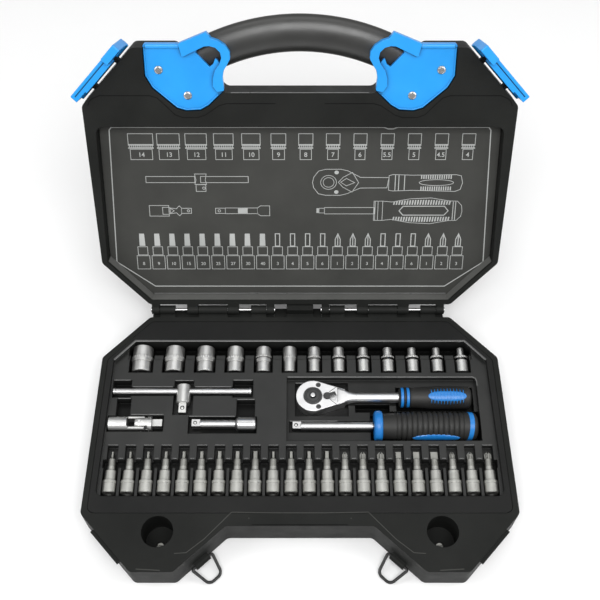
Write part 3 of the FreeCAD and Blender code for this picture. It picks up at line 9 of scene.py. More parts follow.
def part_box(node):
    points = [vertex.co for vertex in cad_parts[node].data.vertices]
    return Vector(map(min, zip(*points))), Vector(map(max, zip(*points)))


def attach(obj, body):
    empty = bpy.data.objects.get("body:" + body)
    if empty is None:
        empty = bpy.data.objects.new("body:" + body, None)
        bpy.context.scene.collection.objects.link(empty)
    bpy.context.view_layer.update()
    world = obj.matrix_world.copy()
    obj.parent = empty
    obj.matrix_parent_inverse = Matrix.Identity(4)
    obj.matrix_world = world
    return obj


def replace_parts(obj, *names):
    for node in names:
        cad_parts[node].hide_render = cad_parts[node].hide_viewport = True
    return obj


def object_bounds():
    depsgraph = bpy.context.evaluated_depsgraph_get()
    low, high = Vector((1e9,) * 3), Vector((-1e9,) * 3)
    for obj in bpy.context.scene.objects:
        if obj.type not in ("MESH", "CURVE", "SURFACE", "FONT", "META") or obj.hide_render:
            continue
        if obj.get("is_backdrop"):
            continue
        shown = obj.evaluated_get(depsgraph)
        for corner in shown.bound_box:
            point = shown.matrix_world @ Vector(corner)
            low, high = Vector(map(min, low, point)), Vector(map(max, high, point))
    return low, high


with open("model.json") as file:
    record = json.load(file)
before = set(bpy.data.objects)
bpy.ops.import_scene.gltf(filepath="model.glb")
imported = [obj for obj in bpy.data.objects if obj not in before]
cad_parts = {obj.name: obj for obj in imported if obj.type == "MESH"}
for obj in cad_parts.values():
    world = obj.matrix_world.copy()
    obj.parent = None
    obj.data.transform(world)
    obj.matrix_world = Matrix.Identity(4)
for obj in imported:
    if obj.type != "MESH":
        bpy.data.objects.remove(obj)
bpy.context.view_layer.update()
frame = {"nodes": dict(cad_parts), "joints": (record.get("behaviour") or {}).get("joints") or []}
MM = 0.001

# ---------------------------------------------------------------- frames on the case

joints = {joint["name"]: joint for joint in frame["joints"]}
HINGE = Vector(joints["lid_hinge"]["pos_m"])
OPEN = math.radians(-joints["lid_hinge"]["range_deg"][0])
LID = Matrix.Translation(HINGE) @ Matrix.Rotation(-OPEN, 4, "X")
BASE = Matrix.Translation((0, HINGE.y, 0))
RIM = -0.0019  # height of the lid's rim over the hinge line with the case shut


def in_lid(depth):
    """A plane in the lid, a depth above its rim when the case is shut.

    x runs to the right and y away from the hinge, in millimetres, and z out of the lid,
    in metres.
    """
    return LID @ Matrix.Translation((0, 0, RIM + depth)) @ Matrix.Diagonal((MM, -MM, -1, 1))


def middle(node):
    """The middle of a node's box."""
    low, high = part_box(node)
    return Vector([(a + b) / 2 for a, b in zip(low, high)])


# ---------------------------------------------------------------- materials

def shader(name):
    """A material with an empty Principled shader and its node tree helpers."""
    material = bpy.data.materials.new(name)
    material.use_nodes = True
    tree = material.node_tree
    principled = tree.nodes["Principled BSDF"]
    coord = tree.nodes.new("ShaderNodeTexCoord")
    return material, tree, principled, coord.outputs["Object"]


def noise(tree, coord, scale, detail=4.0, rough=0.55, stretch=None):
    """Noise over the object's own coordinates, scaled per axis where stretch is given."""
    if stretch is not None:
        mapping = tree.nodes.new("ShaderNodeMapping")
        mapping.inputs["Scale"].default_value = stretch
        tree.links.new(coord, mapping.inputs["Vector"])
        coord = mapping.outputs["Vector"]
    node = tree.nodes.new("ShaderNodeTexNoise")
    node.inputs["Scale"].default_value = scale
    node.inputs["Detail"].default_value = detail
    node.inputs["Roughness"].default_value = rough
    tree.links.new(coord, node.inputs["Vector"])
    return node.outputs["Fac"]


def ramp(tree, value, stops):
    """A colour ramp over a value, through stops of (position, colour)."""
    node = tree.nodes.new("ShaderNodeValToRGB")
    band = node.color_ramp
    band.elements[0].position, band.elements[0].color = stops[0][0], (*stops[0][1], 1)
    band.elements[1].position, band.elements[1].color = stops[-1][0], (*stops[-1][1], 1)
    for place, colour in stops[1:-1]:
        band.elements.new(place).color = (*colour, 1)
    tree.links.new(value, node.inputs["Fac"])
    return node.outputs["Color"]


def level(tree, value, low, high):
    """Map the middle half of a value's range onto low to high."""
    node = tree.nodes.new("ShaderNodeMapRange")
    node.inputs["From Min"].default_value = 0.25
    node.inputs["From Max"].default_value = 0.75
    node.inputs["To Min"].default_value = low
    node.inputs["To Max"].default_value = high
    tree.links.new(value, node.inputs["Value"])
    return node.outputs["Result"]


def relief(tree, principled, heights, edge=0.0):
    """Chain bumps of (height, strength, distance) over softened edges."""
    normal = None
    if edge > 0:
        bevel = tree.nodes.new("ShaderNodeBevel")
        bevel.samples = 6
        bevel.inputs["Radius"].default_value = edge
        normal = bevel.outputs["Normal"]
    for height, strength, distance in heights:
        bump = tree.nodes.new("ShaderNodeBump")
        bump.inputs["Strength"].default_value = strength
        bump.inputs["Distance"].default_value = distance
        tree.links.new(height, bump.inputs["Height"])
        if normal is not None:
            tree.links.new(normal, bump.inputs["Normal"])
        normal = bump.outputs["Normal"]
    if normal is not None:
        tree.links.new(normal, principled.inputs["Normal"])


def shaded(tree, colour, reach, floor):
    """Painted shade: darken a colour in its crevices, where little light gets in."""
    crevice_shade = tree.nodes.new("ShaderNodeAmbientOcclusion")
    crevice_shade.samples = 8
    crevice_shade.inputs["Distance"].default_value = reach
    depth = tree.nodes.new("ShaderNodeMapRange")
    depth.inputs["From Min"].default_value = 0.35
    depth.inputs["From Max"].default_value = 0.92
    depth.inputs["To Min"].default_value = floor
    tree.links.new(crevice_shade.outputs["AO"], depth.inputs["Value"])
    scale = tree.nodes.new("ShaderNodeVectorMath")
    scale.operation = "SCALE"
    tree.links.new(colour, scale.inputs[0])
    tree.links.new(depth.outputs["Result"], scale.inputs["Scale"])
    return scale.outputs["Vector"]


def plastic(name, dark, light, rough, grain, depth, edge=0.0006, coat=0.0, shine=0.5,
            pit_shade=None, crevice_shade=None):
    """Moulded plastic: mottled colour, uneven gloss and a fine grained skin."""
    material, tree, principled, coord = shader(name)
    broad = noise(tree, coord, 22)
    fine = noise(tree, coord, grain, 2.0)
    colour = ramp(tree, broad, [(0.3, dark), (0.7, light)])
    # Painted shade: with a crevice setting the colour is darkened in creases and hollows.
    if crevice_shade is not None:
        colour = shaded(tree, colour, *crevice_shade)
    if pit_shade is not None:
        # Painted shade: the bottoms of the nests are darkened most and the tray's top rim a
        # little, and the gloss drops with them; the field between keeps its colour.
        split = tree.nodes.new("ShaderNodeSeparateXYZ")
        tree.links.new(coord, split.inputs["Vector"])
        height = tree.nodes.new("ShaderNodeMapRange")
        height.inputs["From Min"].default_value = pit_shade[0]
        height.inputs["From Max"].default_value = pit_shade[1]
        tree.links.new(split.outputs["Z"], height.inputs["Value"])
        pit_shade_ramp = ramp(tree, height.outputs["Result"],
                    [(0.0, (0.2,) * 3), (0.5, (1.0,) * 3), (0.8, (1.0,) * 3),
                     (0.9, (0.52,) * 3)])
        pit_shaded = tree.nodes.new("ShaderNodeVectorMath")
        pit_shaded.operation = "MULTIPLY"
        tree.links.new(colour, pit_shaded.inputs[0])
        tree.links.new(pit_shade_ramp, pit_shaded.inputs[1])
        colour = pit_shaded.outputs["Vector"]
        gloss = tree.nodes.new("ShaderNodeMath")
        gloss.operation = "MULTIPLY"
        gloss.inputs[1].default_value = shine
        tree.links.new(pit_shade_ramp, gloss.inputs[0])
        tree.links.new(gloss.outputs["Value"], principled.inputs["Specular IOR Level"])
    tree.links.new(colour, principled.inputs["Base Color"])
    tree.links.new(level(tree, noise(tree, coord, 60), rough - 0.06, rough + 0.08),
                   principled.inputs["Roughness"])
    principled.inputs["Specular IOR Level"].default_value = shine
    principled.inputs["Coat Weight"].default_value = coat
    principled.inputs["Coat Roughness"].default_value = 0.2
    relief(tree, principled, [(fine, 0.6, depth)], edge)
    return material


def metal(name, dark, light, rough, stretch, edge=0.0003, scratch=0.08, crevice_shade=None,
          uneven=0.07):
    """Plated steel: faint lengthwise brushing, uneven gloss, handled look."""
    material, tree, principled, coord = shader(name)
    broad = noise(tree, coord, 90)
    lines = noise(tree, coord, 260, 3.0, 0.6, stretch)
    colour = ramp(tree, broad, [(0.25, dark), (0.75, light)])
    # Painted shade: with a crevice setting the colour is darkened in creases and hollows.
    if crevice_shade is not None:
        colour = shaded(tree, colour, *crevice_shade)
    tree.links.new(colour, principled.inputs["Base Color"])
    tree.links.new(level(tree, lines, rough - uneven, rough + uneven),
                   principled.inputs["Roughness"])
    principled.inputs["Metallic"].default_value = 1.0
    relief(tree, principled, [(lines, scratch, 0.00003)], edge)
    return material


# Colours with a crevice setting get painted shade in their creases and hollows.
BLACK = plastic("case_black", (0.0092, 0.0098, 0.009), (0.0145, 0.0152, 0.014), 0.52,
                1400, 0.00014, shine=0.13)
# Painted shade: the tray's pit setting darkens the bottoms of its nests and its top rim.
TRAY = plastic("tray_black", (0.0125, 0.013, 0.0125), (0.0195, 0.02, 0.019), 0.36, 2200,
               0.00005, edge=0.0009, shine=0.36, pit_shade=(0.0175, 0.033))
PANEL = plastic("panel_grey", (0.042, 0.0425, 0.0395), (0.054, 0.0545, 0.0505), 0.55, 2600,
                0.00004, shine=0.16)
BLUE = plastic("clip_blue", (0.006, 0.27, 0.72), (0.012, 0.32, 0.82), 0.36, 1800, 0.00002,
               edge=0.0007, coat=0.1, crevice_shade=(0.004, 0.2))
TRIM = plastic("trim_blue", (0.008, 0.16, 0.5), (0.014, 0.2, 0.58), 0.34, 1800, 0.00002,
               edge=0.0004, coat=0.1, crevice_shade=(0.003, 0.3))
# Painted highlight: a pale grey for the lit lips and edges of the black plastic, on top of its
# real gloss.
LIP_HIGHLIGHT = plastic("lip_painted_highlight", (0.05, 0.051, 0.05), (0.072, 0.073, 0.071), 0.3, 2200, 0.00003,
              edge=0.0, shine=0.9)
# Painted light: a paler copy of the lining grey for its turned edge, which would otherwise read
# dark in shade.
LIT_LINING = plastic("lining_turn_painted_light", (0.1, 0.101, 0.096), (0.125, 0.126, 0.12), 0.5, 2600,
                 0.00003, edge=0.0, shine=0.2, crevice_shade=(0.002, 0.9))
SEAM = plastic("seam_black", (0.003, 0.003, 0.003), (0.005, 0.005, 0.005), 0.7, 2200,
               0.00002, edge=0.0, shine=0.1)
HANDLE = plastic("handle_black", (0.018, 0.018, 0.017), (0.027, 0.027, 0.025), 0.34, 2400,
                 0.00002, shine=0.7)
RUBBER = plastic("grip_rubber", (0.012, 0.012, 0.0115), (0.02, 0.02, 0.019), 0.5, 2600,
                 0.00005, edge=0.0003, shine=0.4)
WIRE = plastic("wire_black", (0.012, 0.012, 0.012), (0.018, 0.018, 0.018), 0.4, 1800,
               0.00003, shine=0.4)
INK = plastic("print_ink", (0.36, 0.37, 0.36), (0.46, 0.47, 0.46), 0.6, 3000, 0.00001,
              edge=0.0)
CHROME = metal("satin_chrome", (0.6, 0.6, 0.59), (0.77, 0.77, 0.75), 0.37, (6, 1, 6),
               crevice_shade=(0.003, 0.35))
BRIGHT = metal("bright_chrome", (0.5, 0.5, 0.5), (0.62, 0.62, 0.62), 0.29, (1, 6, 6),
               scratch=0.02, crevice_shade=(0.004, 0.3), uneven=0.02)
HEAD = metal("ratchet_chrome", (0.7, 0.7, 0.7), (0.84, 0.84, 0.84), 0.36, (1, 6, 6),
             edge=0.0008)
STEEL = metal("bit_steel", (0.26, 0.26, 0.24), (0.38, 0.38, 0.355), 0.42, (6, 1, 6),
              crevice_shade=(0.004, 0.3))
HOLDER = metal("holder_steel", (0.42, 0.42, 0.395), (0.54, 0.54, 0.51), 0.43, (6, 1, 6),
               crevice_shade=(0.003, 0.35))
PIN = metal("pin_steel", (0.5, 0.5, 0.5), (0.6, 0.6, 0.6), 0.24, (1, 6, 6))
DARK = metal("dark_steel", (0.06, 0.06, 0.06), (0.1, 0.1, 0.1), 0.38, (4, 4, 4))


def dress(material, *nodes):
    """Give CAD nodes their material."""
    for name in nodes:
        item = frame["nodes"][name]
        item.data.materials.clear()
        item.data.materials.append(material)


SOCKETS = [f"socket_{number:02d}" for number in range(1, 14)]
FAMILIES = {"torx": 9, "hex": 4, "phillips": 3, "slotted": 3, "pozidriv": 3}
BITS = [family for family, count in FAMILIES.items() for _ in range(count)]
dress(BLACK, "base_shell", "lid_shell")
dress(TRAY, "tray_insert")
dress(PANEL, "lid_panel")
dress(HANDLE, "carry_handle")
dress(BLUE, "handle_bracket_left", "handle_bracket_right", "latch_left", "latch_right")
dress(TRIM, "ratchet_trim", "spinner_trim")
dress(RUBBER, "ratchet_grip", "spinner_grip_handle")
dress(WIRE, "wire_bail_left", "wire_bail_right")
dress(DARK, "ratchet_screws", "ratchet_drive", "ratchet_lever")
dress(STEEL, "tray_screws")
dress(PIN, "hinge_pin_left", "hinge_pin_right", "latch_pin_left",
      "latch_pin_right", "bracket_rivets", "uj_cross")
dress(BRIGHT, "spinner_shaft_bar", "t_bar_rod", "extension_bar", "ratchet_button")
dress(HEAD, "ratchet_body")
dress(CHROME, "t_bar_head", "uj_socket_fork", "uj_drive_fork", *SOCKETS)
dress(HOLDER, *[f"bit_holders_{family}" for family in FAMILIES])
dress(STEEL, *[f"bits_{family}" for family in FAMILIES])


# ---------------------------------------------------------------- mesh helpers

def make(name, body, material, build, matrix=None, smooth=False, crease=0.7):
    """Run build(bmesh), then hang the mesh on a body."""
    mesh = bpy.data.meshes.new(name)
    bm = bmesh.new()
    build(bm)
    if matrix is not None:
        bmesh.ops.transform(bm, matrix=matrix, verts=bm.verts)
    bmesh.ops.recalc_face_normals(bm, faces=bm.faces)
    for face in bm.faces:
        face.smooth = smooth
    for edge in bm.edges:
        edge.smooth = len(edge.link_faces) == 2 and edge.calc_face_angle() < crease
    bm.to_mesh(mesh)
    bm.free()
    item = bpy.data.objects.new(name, mesh)
    bpy.context.scene.collection.objects.link(item)
    mesh.materials.append(material)
    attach(item, body)
    return item


def skin(bm, rows, around=True):
    """Faces between neighbouring rows of vertices, closed round each row or open."""
    for near, far in zip(rows, rows[1:]):
        for i in range(len(near) if around else len(near) - 1):
            j = (i + 1) % len(near)
            bm.faces.new((near[i], near[j], far[j], far[i]))


def strip(bm, points, width, z, closed=True):
    """A flat line of even width through points, with mitred corners."""
    count = len(points)
    points = [Vector(point) for point in points]
    rails = []
    for index, point in enumerate(points):
        before = points[index - 1] if closed or index > 0 else None
        after = points[(index + 1) % count] if closed or index < count - 1 else None
        a = (point - before).normalized() if before is not None else None
        b = (after - point).normalized() if after is not None else None
        a, b = a or b, b or a
        side = Vector((-a.y - b.y, a.x + b.x)).normalized()
        reach = width / 2 / max(0.35, side.dot(Vector((-a.y, a.x))))
        rails.append((bm.verts.new((*(point + side * reach), z)),
                      bm.verts.new((*(point - side * reach), z))))
    skin(bm, rails + rails[:1] if closed else rails, around=False)


def plate(bm, points, z):
    """A flat filled face."""
    bm.faces.new([bm.verts.new((*point, z)) for point in points])


# ---------------------------------------------------------------- printed diagram on the lid

def rect(x, y, w, h):
    """A rectangle centred on x that stands on y."""
    return [(x - w / 2, y), (x + w / 2, y), (x + w / 2, y + h), (x - w / 2, y + h)]


def oval(x, y, rx, ry, count=28):
    """An ellipse as points."""
    return [(x + rx * math.cos(math.tau * i / count), y + ry * math.sin(math.tau * i / count))
            for i in range(count)]


# The sizes printed by the sockets, with their drawn widths, and those by the bit sockets.
SOCKET_SIZES = {"14": 21, "13": 19, "12": 18, "11": 16.5, "10": 15.5, "9": 12.5, "8": 12,
                "7": 11.5, "6": 11, "5.5": 11, "5": 11, "4.5": 11, "4": 11}
BIT_SIZES = ("8", "9", "10", "15", "20", "25", "27", "30", "40", "3", "4", "5", "6", "1", "2",
             "3", "4", "5", "6", "1", "2", "3")


def socket_column(index):
    """The drawn sockets stand a little closer together towards the small end."""
    return -134.5 + 23.4 * index * (1 - 0.0012 * index)


def bit_column(index):
    """The drawn bit sockets stand at one pitch."""
    return -140.3 + 13.37 * index


def draw_lid(bm):
    """Outlines of the tools; x to the right, y away from the hinge, in millimetres."""
    z = 0.0
    thin = 0.5
    strip(bm, [(-131.5, 19), (131.5, 19), (164.5, 43.5), (160, 166.5), (158, 169),
               (82, 169), (78, 167.6), (74, 167.6), (70, 169), (-158, 169), (-160, 166.5),
               (-164.5, 43.5)], 0.9, z)
    for index, width in enumerate(SOCKET_SIZES.values()):
        x = socket_column(index)
        strip(bm, rect(x, 154, width, 9.4), thin, z)
        strip(bm, rect(x, 140.5, width - 2.4, 9.2), thin, z)
        plate(bm, rect(x, 150.2, width + 0.6, 1.2), z)
        plate(bm, rect(x, 153.0, width + 0.6, 0.7), z)
        teeth = int(width // 1.7)
        for tooth in range(teeth):
            across = x - width / 2 + (tooth + 0.5) * width / teeth
            plate(bm, rect(across, 150.2, 0.75, 3.2), z)
    strip(bm, rect(-111.5, 119.6, 42, 5.6), thin, z)
    strip(bm, rect(-65, 119.6, 41, 5.6), thin, z)
    strip(bm, [(-90.5, 118), (-85.5, 118), (-80.5, 118), (-81.5, 122), (-80.5, 127.5),
               (-90.5, 127.5), (-89.5, 122)], thin, z)
    strip(bm, rect(-85.5, 111.5, 8.4, 6.2), thin, z)
    strip(bm, oval(-83, 114.5, 1.1, 1.1, 12), thin, z)
    strip(bm, rect(-123, 88.3, 17, 10), thin, z)
    strip(bm, [(-120, 90), (-114.5, 90), (-110, 93.3), (-114.5, 96.6), (-120, 96.6)],
          thin, z)
    strip(bm, [(-113.5, 90.6), (-108, 91.4), (-105.4, 88.6), (-103.6, 90.4),
               (-103.6, 96.2), (-105.4, 98), (-108, 95.2), (-113.5, 96)], thin, z)
    strip(bm, rect(-99.2, 90.9, 8.6, 4.8), thin, z)
    strip(bm, oval(-97.5, 93.3, 1.1, 1.1, 12), thin, z)
    strip(bm, rect(-69.5, 90.8, 8.5, 5), thin, z)
    strip(bm, oval(-70.5, 93.3, 1.1, 1.1, 12), thin, z)
    strip(bm, rect(-51.2, 90.6, 28, 5.4), thin, z)
    plate(bm, rect(-50, 90.6, 8.4, 5.4), z)
    strip(bm, [(-37.2, 90.6), (-34.5, 88.6), (-26.5, 88.6), (-26.5, 98), (-34.5, 98),
               (-37.2, 96)], thin, z)
    # ratchet
    strip(bm, [(16, 109.3), (22, 107.9), (35, 107.9), (41, 109.5), (52, 114.6),
               (75, 114.8), (76.5, 124.2), (52, 124.4), (41, 130.4), (35, 131.8),
               (22, 131.8), (16, 130.2), (11.8, 124.6), (10.8, 119.8), (11.8, 114.8)],
          thin, z)
    strip(bm, oval(24.6, 119.8, 6.8, 6.4), thin, z)
    strip(bm, oval(24.6, 119.8, 4.7, 4.4), thin, z)
    strip(bm, [(33, 119.9), (37, 115.4), (45, 110.9), (50.5, 119.6), (45, 128.9),
               (37, 124.4)], thin, z)
    strip(bm, [(35, 120), (40, 116.6), (47, 119.6), (40, 123.4)], thin, z)
    for y in (110.9, 128.9):
        plate(bm, oval(31.4, y, 1.9, 1.7, 14), z)
    strip(bm, [(76.5, 112.6), (80, 111.9), (97, 112.5), (134, 111.5), (138.5, 113.4),
               (140, 119.6), (138.5, 125.8), (134, 126.9), (97, 126.4), (80, 127),
               (76.5, 126)], thin, z)
    for x in (82, 85, 90):
        strip(bm, [(x, 112.2), (x, 126.8)], 0.7, z, closed=False)
    strip(bm, oval(117.5, 119.6, 14.8, 2.7), thin, z)
    for index in range(14):
        x = 104.5 + index * 1.95
        plate(bm, rect(x, 112.4, 1.0, 3.6), z)
        plate(bm, rect(x, 123.0, 1.0, 3.6), z)
    # spinner handle
    plate(bm, rect(15.6, 91.3, 2.4, 4.4), z)
    strip(bm, rect(19, 91.3, 4.6, 4.4), thin, z)
    strip(bm, rect(43.2, 90.4, 43.6, 6), thin, z)
    for x in (65.5, 68, 72):
        strip(bm, [(x, 84.2), (x, 102.4)], thin, z, closed=False)
    strip(bm, [(64.5, 84.2), (72, 84.2), (80, 85.2), (96, 82), (114, 81), (130, 84),
               (137, 84.2), (140.8, 88), (141.6, 93.2), (140.8, 98.4), (137, 102.4),
               (130, 102.6), (114, 105.4), (96, 104.6), (80, 101.6), (72, 102.4),
               (64.5, 102.4)], thin, z)
    strip(bm, [(90, 89.2), (126, 89.2), (129.5, 93.3), (126, 97.6), (90, 97.6),
               (86.6, 93.3)], 0.8, z)
    for index in range(22):
        x = 81 + index * 2.3
        bend = 1.6 * math.sin((x - 80) / 52 * math.pi)
        plate(bm, [(x, 84.4 - bend), (x + 1.3, 84.4 - bend), (x + 1.9, 87.6),
                   (x + 0.6, 87.6)], z)
        plate(bm, [(x, 99), (x + 1.3, 99), (x + 1.9, 102 + bend), (x + 0.6, 102 + bend)],
              z)
    for x in (133.5, 135.6):
        strip(bm, [(x, 84.6), (x, 102)], 0.7, z, closed=False)
    # bit sockets: torx tips filled, hex and slotted ones square, the others pointed
    for index, family in enumerate(BITS):
        x = bit_column(index)
        strip(bm, rect(x, 36.5, 11.4, 13.2), thin, z)
        strip(bm, rect(x, 50.6, 8.6, 8), thin, z)
        if family == "torx":
            plate(bm, [(x - 2.6, 59.5), (x + 2.6, 59.5), (x + 2.2, 71.4), (x - 2.2, 71.4)],
                  z)
        elif family in ("hex", "slotted"):
            strip(bm, rect(x, 59.3, 3.8, 12), 0.85, z)
        else:
            strip(bm, [(x - 2.2, 59.3), (x + 2.2, 59.3), (x + 2.2, 66), (x, 71.2),
                       (x - 2.2, 66)], 0.8, z)
            strip(bm, [(x, 60), (x, 70)], 0.8, z, closed=False)


LINING = 0.012
PRINT = in_lid(LINING - 0.00006)
make("lid_diagram", "lid", INK, draw_lid, PRINT)


def number(text, x, y, size):
    """A printed size number, centred on x with its foot at y."""
    curve = bpy.data.curves.new("number_" + text, "FONT")
    curve.body = text
    curve.size = size
    curve.align_x = "CENTER"
    curve.offset = 0.06 * size / 5
    holder = bpy.data.objects.new("number_holder", curve)
    bpy.context.scene.collection.objects.link(holder)
    bpy.context.view_layer.update()
    flat = bpy.data.meshes.new_from_object(
        holder.evaluated_get(bpy.context.evaluated_depsgraph_get()))
    bpy.data.objects.remove(holder)
    bm = bmesh.new()
    bm.from_mesh(flat)
    bmesh.ops.translate(bm, vec=(x, y, 0), verts=bm.verts)
    return bm, flat


def draw_numbers(bm):
    labels = [(text, socket_column(index), 143, 5.6)
              for index, text in enumerate(SOCKET_SIZES)]
    labels += [(text, bit_column(index), 40.5, 4.2) for index, text in enumerate(BIT_SIZES)]
    for text, x, y, size in labels:
        piece, flat = number(text, x, y, size)
        moved = bpy.data.meshes.new("number_flat")
        piece.to_mesh(moved)
        piece.free()
        bm.from_mesh(moved)
        bpy.data.meshes.remove(moved)
        bpy.data.meshes.remove(flat)


make("lid_numbers", "lid", INK, draw_numbers, PRINT)


# ---------------------------------------------------------------- grips of the two handles

def lathe(bm, axis, profile, sides=56):
    """Turn (x, radius) points about a line along X through axis; both ends are closed."""
    rings = []
    for x, radius in profile:
        rings.append([bm.verts.new((x, axis.y + radius * math.sin(math.tau * i / sides),
                                    axis.z + radius * math.cos(math.tau * i / sides)))
                      for i in range(sides)])
    skin(bm, rings)
    bm.faces.new(rings[0])
    bm.faces.new(rings[-1])


def pad(bm, axis, radius, start, end, turn, side, proud, across=10, along=28):
    """A raised patch on a grip, side wide each way at its middle, about the angle turn."""
    rows = []
    for i in range(along + 1):
        x = start + (end - start) * i / along
        span = side * max(0.0, 1 - abs(2 * i / along - 1) ** 2.6) ** 0.6
        row = []
        for j in range(across + 1):
            sweep = 2 * j / across - 1
            rim = abs(sweep) > 0.999 or i in (0, along)
            reach = radius(x) + (-0.25 * MM if rim else proud)
            angle = turn + sweep * span / radius(x)
            row.append(bm.verts.new((x, axis.y - reach * math.sin(angle),
                                     axis.z + reach * math.cos(angle))))
        rows.append(row)
    skin(bm, rows, around=False)


def steps(start, end, count):
    """Even steps from start to end, with both of them."""
    return [start + (end - start) * i / count for i in range(count + 1)]


def ease(value):
    """A smooth rise from 0 to 1."""
    value = min(1.0, max(0.0, value))
    return value * value * (3 - 2 * value)


low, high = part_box("spinner_grip_handle")
spin_low, spin_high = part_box("spinner_trim")
SPIN = Vector((low[0], *middle("spinner_grip_handle").yz))
SPIN_RADIUS = (high[2] - low[2]) / 2
COLLAR = (spin_low[0] + 0.8 * MM, spin_low[0] + 8.1 * MM)
SPIN_END = spin_high[0]
RIBS, RIB_START, RIB_PITCH = 13, COLLAR[1] + 11.5 * MM, 4.45 * MM
RIB_END = RIB_START + RIBS * RIB_PITCH
CAP_START = SPIN_END - 6.2 * MM


def spinner_radius(x):
    """Belly of the spinner's grip, without its ribs."""
    rise = ease((x - COLLAR[1]) / (26 * MM))
    fall = ease((x - RIB_END + 12 * MM) / (26 * MM))
    return SPIN_RADIUS * (0.89 + 0.105 * rise - 0.06 * fall)


def ribbed(x):
    """The spinner's grip with its ribs cut in."""
    if not RIB_START < x < RIB_END:
        return spinner_radius(x)
    phase = (x - RIB_START) / RIB_PITCH
    return spinner_radius(x) - 1.15 * MM * (1 - abs(math.sin(math.pi * phase)) ** 0.55)


def capped(x):
    """The spinner's grip where it rounds over at its end."""
    bend = (x - CAP_START) / (SPIN_END - CAP_START)
    return spinner_radius(x) * (0.45 + 0.55 * math.sqrt(1 - bend ** 3))


def draw_spinner_grip(bm):
    profile = [(COLLAR[1] - 1 * MM, spinner_radius(COLLAR[1]))]
    profile += [(x, spinner_radius(x)) for x in steps(COLLAR[1], RIB_START, 6)[:-1]]
    profile += [(x, ribbed(x)) for x in steps(RIB_START, RIB_END, RIBS * 10)]
    profile += [(x, spinner_radius(x)) for x in steps(RIB_END, CAP_START, 5)[1:]]
    profile += [(x, capped(x)) for x in steps(CAP_START, SPIN_END, 10)[1:]]
    lathe(bm, SPIN, profile)


def draw_spinner_trim(bm):
    rim = (spin_high[2] - spin_low[2]) / 2
    lathe(bm, SPIN, [(COLLAR[0], rim * 0.8), (COLLAR[0] + 0.7 * MM, rim * 0.93),
                     (COLLAR[0] + 2 * MM, rim * 0.99), (COLLAR[0] + 4 * MM, rim),
                     (COLLAR[1] - 2 * MM, rim * 0.99), (COLLAR[1] - 0.7 * MM, rim * 0.95),
                     (COLLAR[1], rim * 0.86)])
    pad(bm, SPIN, spinner_radius, SPIN.x + 25 * MM, SPIN.x + 66 * MM, 1.36, 4.2 * MM,
        0.35 * MM)


def draw_spinner_ring(bm):
    """A blue ring that leans over the end of the grip."""
    sides = 56
    rows = []
    for i in range(sides):
        angle = math.tau * i / sides
        lean = 1.6 * MM * math.cos(angle)
        row = []
        for x, lift in ((-2.2, -0.3), (-1.9, 0.3), (1.9, 0.3), (2.2, -0.3)):
            place = CAP_START - 1.4 * MM + x * MM + lean
            reach = (capped(place) if place > CAP_START else spinner_radius(place)) + lift * MM
            row.append(bm.verts.new((place, SPIN.y - reach * math.sin(angle),
                                     SPIN.z + reach * math.cos(angle))))
        rows.append(row)
    skin(bm, rows + rows[:1])


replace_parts(make("spinner_ribbed_grip", "spinner", RUBBER, draw_spinner_grip, smooth=True),
            "spinner_grip_handle")
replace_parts(make("spinner_collar", "spinner", TRIM, draw_spinner_trim, smooth=True),
            "spinner_trim")
make("spinner_end_ring", "spinner", TRIM, draw_spinner_ring, smooth=True)

low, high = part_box("ratchet_grip")
GRIP = Vector((low[0], *middle("ratchet_grip").yz))
GRIP_RADIUS, GRIP_END = (high[2] - low[2]) / 2, high[0]
BANDS = (1.4, 6.4)  # where the two blue rings start, in millimetres along the grip
FACE = 0.3  # the inlay is turned this far from straight up, in radians
# The black ridges beside the inlay and the blue ticks between them, along the grip.
RIDGE_START, TICK_START, TICK_PITCH = 26.4, 27.78, 2.75


def grip_radius(x):
    """The ratchet's grip: slim at its rings, full at the inlay, rounded at the end."""
    place = (x - GRIP.x) / (GRIP_END - GRIP.x)
    swell = ease((place - 0.1) / 0.45) - 0.35 * ease((place - 0.72) / 0.3)
    return GRIP_RADIUS * (0.86 + 0.13 * swell)


def draw_ratchet_grip(bm):
    profile = [(GRIP.x, grip_radius(GRIP.x) * 0.8),
               (GRIP.x + 0.5 * MM, grip_radius(GRIP.x) * 0.93)]
    for start in BANDS:
        profile += [(GRIP.x + (start - 0.3) * MM, grip_radius(GRIP.x) * 0.97),
                    (GRIP.x + start * MM, grip_radius(GRIP.x) * 0.9),
                    (GRIP.x + (start + 3) * MM, grip_radius(GRIP.x) * 0.9),
                    (GRIP.x + (start + 3.3) * MM, grip_radius(GRIP.x) * 0.97)]
    turn = GRIP_END - 4.5 * MM
    profile += [(x, grip_radius(x)) for x in steps(GRIP.x + 10.4 * MM, turn, 26)]
    for x in steps(turn, GRIP_END, 9)[1:]:
        bend = (x - turn) / (GRIP_END - turn)
        profile.append((x, grip_radius(x) * (0.5 + 0.5 * math.sqrt(1 - bend ** 2.6))))
    lathe(bm, GRIP, profile)
    for index in range(12):
        place = GRIP.x + (RIDGE_START + TICK_PITCH * index) * MM
        for turn_at in (FACE - 0.62, FACE + 0.62):
            pad(bm, GRIP, grip_radius, place - 0.95 * MM, place + 0.95 * MM, turn_at,
                2.3 * MM, 0.8 * MM, across=8, along=6)


